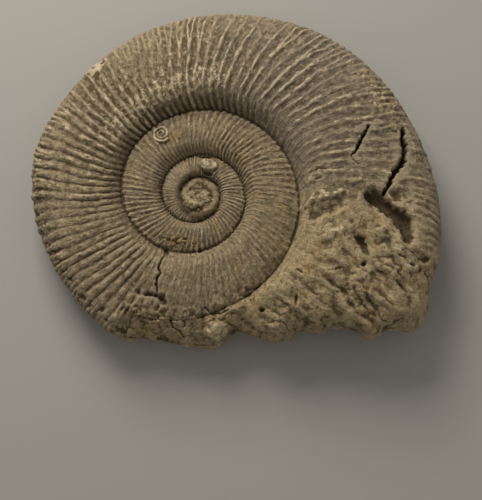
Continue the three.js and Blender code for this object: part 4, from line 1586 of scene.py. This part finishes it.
    def keep(self, skin: bpy.types.Object) -> None:
        """Writes the values on the skin's points.

        Args:
            skin: The carved skin.
        """
        values = {
            "dirt_and_shade": self.dirt_and_shade(),
            "crest": self.crest(),
            "pale": self.pale(),
            "ochre": self.ochre(),
            "rock": 1 - self.carving.shell,
            "grey": self.grey_flank(self.carving.turn) * (1 - self.carving.spread(CRUST)),
            "lane": self.carving.lane,
            "reach": self.carving.radius,
        }
        for name, value in values.items():
            keep_value(skin, name, value)


@dataclass
class Stone:
    """The whole stone as one piece."""

    node: str = "ammonite"
    slot: str = "fossil_limestone"
    face_limit: int = 196_000
    relief_rounds: int = 4
    relief_height: float = 0.22

    def thin(self, skin: bpy.types.Object) -> None:
        """Brings the skin under the limit on triangles, keeping its crests and edges.

        Args:
            skin: The carved skin.
        """
        faces = sum(len(polygon.vertices) - 2 for polygon in skin.data.polygons)
        modifier = skin.modifiers.new("fewer faces", "DECIMATE")
        modifier.ratio = self.face_limit / faces
        modifier.use_collapse_triangulate = True
        bpy.ops.object.modifier_apply(modifier=modifier.name)
        LOG.info("stone: %d triangles from %d", len(skin.data.polygons), faces)

    def fit(self, skin: bpy.types.Object) -> None:
        """Draws the skin in by a hair where it stands out of its solid's box.

        Args:
            skin: The carved skin.
        """
        points = read_points(skin)
        box = np.array(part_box(self.node))
        for axis in range(3):
            for limit, side in zip(box[:, axis], (points[:, axis] < 0, points[:, axis] > 0)):
                reach = np.abs(points[side, axis]).max(initial=0)
                if reach > abs(limit):
                    points[side, axis] *= abs(limit) / reach
        move_points(skin, points)

    def feel_relief(self, skin: bpy.types.Object) -> None:
        """Keeps how far each point stands out of, or lies under, the surface round it, for the finish's
        painted highlight and shade.

        Args:
            skin: The carved skin.
        """
        points = read_points(skin)
        ends = np.empty(2 * len(skin.data.edges), np.int32)
        skin.data.edges.foreach_get("vertices", ends)
        first, second = ends.reshape(-1, 2).T
        neighbours = np.bincount(ends, minlength=len(points))[:, None]
        smooth = points
        for _ in range(self.relief_rounds):
            total = np.zeros_like(smooth)
            for own, other in ((first, second), (second, first)):
                for axis in range(3):
                    total[:, axis] += np.bincount(own, smooth[other, axis], len(points))
            smooth = total / np.maximum(neighbours, 1)
        out = ((points - smooth) * read_normals(skin)).sum(axis=1) / MILLIMETRE
        keep_value(skin, "relief", np.clip(out / self.relief_height, -1, 1))

    def build(self) -> bpy.types.Object:
        """Makes the stone and fits it in the frame.

        Returns:
            The finished piece.
        """
        coil = Coil()
        skin = StoneSkin(coil).build()
        carving = Carving(coil)
        carving.carve(skin)
        Weathering(carving).keep(skin)
        self.thin(skin)
        self.fit(skin)
        self.feel_relief(skin)
        bpy.ops.object.shade_smooth()
        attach(skin, "root")
        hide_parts(self.node)
        return skin


class Graph:
    """Adds nodes to a material and joins them. Sizes of patterns are in millimetres."""

    LAYER_FALL = 0.6  # a finer layer's strength, as a share of the last one's

    def __init__(self, material: bpy.types.Material) -> None:
        """Starts on a material whose nodes are in use."""
        self.tree = material.node_tree
        self.place = self.tree.nodes.new("ShaderNodeTexCoord").outputs["Object"]

    def set(self, socket: Socket, value: Value) -> None:
        """Joins a socket to another, or sets it to a number or a colour.

        Args:
            socket: The socket that takes the value.
            value: What it takes.
        """
        if isinstance(value, Socket):
            self.tree.links.new(value, socket)
        elif isinstance(value, tuple):
            socket.default_value = (*value, 1)
        else:
            socket.default_value = value

    def kept(self, name: str) -> Socket:
        """Reads a value kept on the mesh.

        Args:
            name: The value's name.

        Returns:
            Its socket.
        """
        node = self.tree.nodes.new("ShaderNodeAttribute")
        node.attribute_name = name
        return node.outputs["Fac"]

    def noise(self, size: float, detail: float, seed: float) -> Socket:
        """Noise about 0.5, with lumps of a size.

        Args:
            size: A lump's size.
            detail: How many finer layers it has.
            seed: Which noise.

        Returns:
            The noise's socket.
        """
        node = self.tree.nodes.new("ShaderNodeTexNoise")
        node.noise_dimensions = "4D"
        self.set(node.inputs["Vector"], self.place)
        self.set(node.inputs["W"], seed)
        self.set(node.inputs["Scale"], 1 / (size * MILLIMETRE))
        self.set(node.inputs["Detail"], detail)
        self.set(node.inputs["Roughness"], self.LAYER_FALL)
        return node.outputs["Fac"]

    def streaks(self, width: float, length: float, detail: float) -> Socket:
        """Noise about 0.5 that runs along the ribs, with its width in ribs.

        Args:
            width: A streak's width, in ribs.
            length: A streak's length.
            detail: How many finer layers it has.

        Returns:
            The noise's socket.
        """
        place = self.tree.nodes.new("ShaderNodeCombineXYZ")
        self.set(place.inputs["X"], self.maths("MULTIPLY", self.kept("lane"), 1 / width))
        self.set(place.inputs["Y"], self.maths("MULTIPLY", self.kept("reach"), 1 / length))
        node = self.tree.nodes.new("ShaderNodeTexNoise")
        self.set(node.inputs["Vector"], place.outputs["Vector"])
        self.set(node.inputs["Scale"], 1.0)
        self.set(node.inputs["Detail"], detail)
        return node.outputs["Fac"]

    def step(
        self, value: Value, low: float, high: float, start: float = 0.0, end: float = 1.0
    ) -> Socket:
        """Goes smoothly from start at low to end at high.

        Args:
            value: What is read.
            low: Where the change starts.
            high: Where it ends.
            start: What it gives at low and under it.
            end: What it gives at high and over it.

        Returns:
            The result's socket.
        """
        node = self.tree.nodes.new("ShaderNodeMapRange")
        node.interpolation_type = "SMOOTHSTEP"
        names = ("Value", "From Min", "From Max", "To Min", "To Max")
        for name, number in zip(names, (value, low, high, start, end)):
            self.set(node.inputs[name], number)
        return node.outputs["Result"]

    def maths(self, operation: str, first: Value, second: Value) -> Socket:
        """Works out one sum.

        Args:
            operation: Which sum.
            first: Its first number.
            second: Its second number.

        Returns:
            The result's socket.
        """
        node = self.tree.nodes.new("ShaderNodeMath")
        node.operation = operation
        self.set(node.inputs[0], first)
        self.set(node.inputs[1], second)
        return node.outputs[0]

    def scatter(self, value: Value, noise: Value, reach: float) -> Socket:
        """Adds noise to a value, by up to about reach either way."""
        centred = self.maths("SUBTRACT", noise, 0.5)
        return self.maths("ADD", value, self.maths("MULTIPLY", centred, 4 * reach))

    def mix(self, share: Value, low: Value, high: Value) -> Socket:
        """Mixes two colours.

        Args:
            share: How much of the second colour there is.
            low: The first colour.
            high: The second colour.

        Returns:
            The mixed colour's socket.
        """
        node = self.tree.nodes.new("ShaderNodeMix")
        node.data_type = "RGBA"
        sockets = {socket.identifier: socket for socket in node.inputs}
        self.set(sockets["Factor_Float"], share)
        self.set(sockets["A_Color"], low)
        self.set(sockets["B_Color"], high)
        return next(socket for socket in node.outputs if socket.identifier == "Result_Color")


@dataclass(frozen=True)
class Limestone:
    """The stone's finish: dry, matt, grey-brown stone with pale crests, earth with painted shade, painted
    highlights, crust and iron.
    """

    name: str = "fossil_limestone"
    groove: Colour = (0.140, 0.103, 0.057)
    flank: Colour = (0.235, 0.181, 0.107)
    grey: Colour = (0.146, 0.118, 0.085)
    worn: Colour = (0.47, 0.382, 0.238)
    rock_dark: Colour = (0.150, 0.106, 0.051)
    rock_light: Colour = (0.300, 0.231, 0.124)
    iron: Colour = (0.32, 0.196, 0.070)
    crust: Colour = (0.55, 0.46, 0.295)
    earth_and_shade: Colour = (0.060, 0.038, 0.016)

    speckle_size: float = 0.9
    patch_size: float = 3.2
    cloud_size: float = 15.0
    iron_size: float = 6.0
    crust_size: float = 2.2
    grain_size: float = 1.8
    streak: Pair = (0.16, 4.0)  # width in ribs, and length
    scratch: Pair = (0.2, 2.4)
    most_grey: float = 0.75
    most_iron: float = 0.7
    most_worn: float = 0.75
    most_crust: float = 0.85
    most_lit: float = 0.3  # painted highlight and wear: worn colour on what stands out a little
    most_earth_and_shade: float = 0.92
    low_shade_and_earth: Pair = (0.42, 0.62)  # painted shade and earth in what lies a little low, on shell and on rock
    speckle: Pair = (0.2, 0.25)  # how far grit goes darker and lighter, on shell and on rock
    streak_light: Pair = (0.72, 1.28)
    roughness: Pair = (0.93, 0.8)  # of the ground and of worn crests
    grain_depth: Pair = (0.45, 0.85)  # on shell and on rock
    scratch_depth: float = 0.5

    def colour(self, graph: Graph) -> Socket:
        """Builds the colour: shell and rock, then iron, wear, crust, a painted highlight on small bumps,
        and earth with painted shade over them.

        Args:
            graph: The material's nodes.

        Returns:
            The colour's socket.
        """
        speckles = graph.noise(self.speckle_size, 3, 1)
        patches = graph.noise(self.patch_size, 5, 2)
        clouds = graph.noise(self.cloud_size, 3, 3)
        streaks = graph.streaks(*self.streak, 3)
        relief = graph.kept("relief")
        is_rock = graph.kept("rock")
        shell = graph.mix(graph.step(patches, 0.36, 0.62), self.groove, self.flank)
        grey = graph.scatter(graph.kept("grey"), clouds, 0.4)
        shell = graph.mix(graph.step(grey, 0.3, 1.0, 0, self.most_grey), shell, self.grey)
        shell = self.shaded(graph, shell, graph.step(streaks, 0.3, 0.7, *self.streak_light))
        rock = graph.mix(graph.step(patches, 0.34, 0.6), self.rock_dark, self.rock_light)
        colour = graph.mix(is_rock, shell, rock)
        iron = graph.scatter(graph.kept("ochre"), graph.noise(self.iron_size, 4, 4), 0.5)
        colour = graph.mix(graph.step(iron, 0.3, 0.95, 0, self.most_iron), colour, self.iron)
        crest = graph.scatter(graph.scatter(graph.kept("crest"), streaks, 0.3), patches, 0.3)
        colour = graph.mix(graph.step(crest, 0.45, 0.95, 0, self.most_worn), colour, self.worn)
        pale = graph.scatter(graph.kept("pale"), graph.noise(self.crust_size, 5, 5), 0.6)
        colour = graph.mix(graph.step(pale, 0.45, 0.8, 0, self.most_crust), colour, self.crust)
        # painted highlight and wear on small bumps
        colour = graph.mix(graph.step(relief, 0.1, 0.9, 0, self.most_lit), colour, self.worn)
        # painted shade and earth in small dips, from how far they lie under the surface round them
        in_low = graph.step(is_rock, 0, 1, *self.low_shade_and_earth)
        low = graph.maths("MULTIPLY", graph.step(relief, -0.9, -0.05, 1, 0), in_low)
        dirt_and_shade = graph.scatter(graph.maths("ADD", graph.kept("dirt_and_shade"), low), patches, 0.22)
        # the earth colour stands for real earth and for painted shade in walls, grooves, hollows and small
        # dips
        colour = graph.mix(graph.step(dirt_and_shade, 0.15, 0.95, 0, self.most_earth_and_shade), colour, self.earth_and_shade)
        reach = graph.step(is_rock, 0, 1, *self.speckle)
        grit = graph.maths("MULTIPLY", graph.step(speckles, 0.3, 0.7, -1, 1), reach)
        return self.shaded(graph, colour, graph.maths("ADD", grit, 1.0))

    @staticmethod
    def shaded(graph: Graph, colour: Socket, amount: Socket) -> Socket:
        """Makes a colour darker or lighter.

        Args:
            graph: The material's nodes.
            colour: The colour.
            amount: How light it gets, 1 to leave it as it is.

        Returns:
            The new colour's socket.
        """
        node = graph.tree.nodes.new("ShaderNodeVectorMath")
        node.operation = "SCALE"
        graph.set(node.inputs[0], colour)
        graph.set(node.inputs["Scale"], amount)
        return node.outputs[0]

    def height(self, graph: Graph) -> Socket:
        """Builds the grain's height.

        Args:
            graph: The material's nodes.

        Returns:
            The socket of the height, in millimetres.
        """
        depth = graph.step(graph.kept("rock"), 0, 1, *self.grain_depth)
        coarse = graph.maths("MULTIPLY", graph.noise(self.grain_size, 4, 6), depth)
        lines = graph.maths("MULTIPLY", graph.streaks(*self.scratch, 3), self.scratch_depth)
        return graph.maths("ADD", coarse, lines)

    def dress(self, stone: bpy.types.Object) -> None:
        """Gives the stone its material.

        Args:
            stone: The finished stone.
        """
        material = bpy.data.materials.new(self.name)
        material.use_nodes = True
        shader = material.node_tree.nodes["Principled BSDF"]
        graph = Graph(material)
        graph.set(shader.inputs["Base Color"], self.colour(graph))
        matt = graph.step(graph.kept("crest"), 0.4, 1, *self.roughness)
        graph.set(shader.inputs["Roughness"], matt)
        bump = material.node_tree.nodes.new("ShaderNodeBump")
        graph.set(bump.inputs["Distance"], MILLIMETRE)
        graph.set(bump.inputs["Height"], self.height(graph))
        graph.set(shader.inputs["Normal"], bump.outputs["Normal"])
        stone.data.materials.clear()
        stone.data.materials.append(material)


@dataclass(frozen=True)
class Studio:
    """The floor, the light and the camera."""

    floor_reach: float = 12.0
    camera_target: tuple[float, float, float] = (2.19, -34.98, 18.0)
    camera_distance: float = 520.0
    camera_elevation: float = 78.0
    lens: float = 84.1
    floor_colour: Colour = (0.345, 0.335, 0.312)
    floor_roughness: float = 0.95
    sky_colour: Colour = (1.0, 0.97, 0.92)
    sky_strength: float = 0.36
    window_place: tuple[float, float, float] = (-0.22, 0.52, 0.44)  # in metres
    window_size: float = 0.38
    window_power: float = 5.2
    window_colour: Colour = (1.0, 0.95, 0.86)

    def floor(self) -> None:
        """Adds the plain floor."""
        bpy.ops.mesh.primitive_plane_add(size=self.floor_reach)
        floor = bpy.context.active_object
        floor.name = "floor"
        material = bpy.data.materials.new("floor")
        material.use_nodes = True
        shader = material.node_tree.nodes["Principled BSDF"]
        shader.inputs["Base Color"].default_value = (*self.floor_colour, 1)
        shader.inputs["Roughness"].default_value = self.floor_roughness
        floor.data.materials.append(material)

    def light(self) -> None:
        """Adds a large soft light at the back and an even sky."""
        world = bpy.data.worlds.new("sky")
        bpy.context.scene.world = world
        world.use_nodes = True
        sky = world.node_tree.nodes["Background"]
        sky.inputs["Color"].default_value = (*self.sky_colour, 1)
        sky.inputs["Strength"].default_value = self.sky_strength
        lamp = bpy.data.lights.new("window", "AREA")
        lamp.size = self.window_size
        lamp.energy = self.window_power
        lamp.color = self.window_colour
        holder = bpy.data.objects.new("window", lamp)
        bpy.context.scene.collection.objects.link(holder)
        holder.location = self.window_place
        holder.visible_camera = False
        to_stone = -Vector(self.window_place)
        holder.rotation_euler = to_stone.to_track_quat("-Z", "Y").to_euler()

    def camera(self) -> None:
        """Looks down on the stone from a little in front."""
        target = Vector(self.camera_target) * MILLIMETRE
        rise = math.radians(self.camera_elevation)
        back = Vector((0, -math.cos(rise), math.sin(rise)))
        lens = bpy.data.cameras.new("camera")
        lens.lens = self.lens
        lens.clip_start = 0.01
        camera = bpy.data.objects.new("camera", lens)
        bpy.context.scene.collection.objects.link(camera)
        camera.location = target + back * self.camera_distance * MILLIMETRE
        camera.rotation_euler = (-back).to_track_quat("-Z", "Y").to_euler()
        bpy.context.scene.camera = camera

    def build(self) -> None:
        """Sets the stage."""
        self.floor()
        self.light()
        self.camera()
        bpy.context.scene.view_settings.view_transform = "Standard"


def main() -> None:
    """Builds the stone and its setting."""
    logging.basicConfig(level=logging.INFO, format="%(name)s: %(message)s")
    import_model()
    stone = Stone().build()
    Limestone().dress(stone)
    Studio().build()


if __name__ == "__main__":
    main()
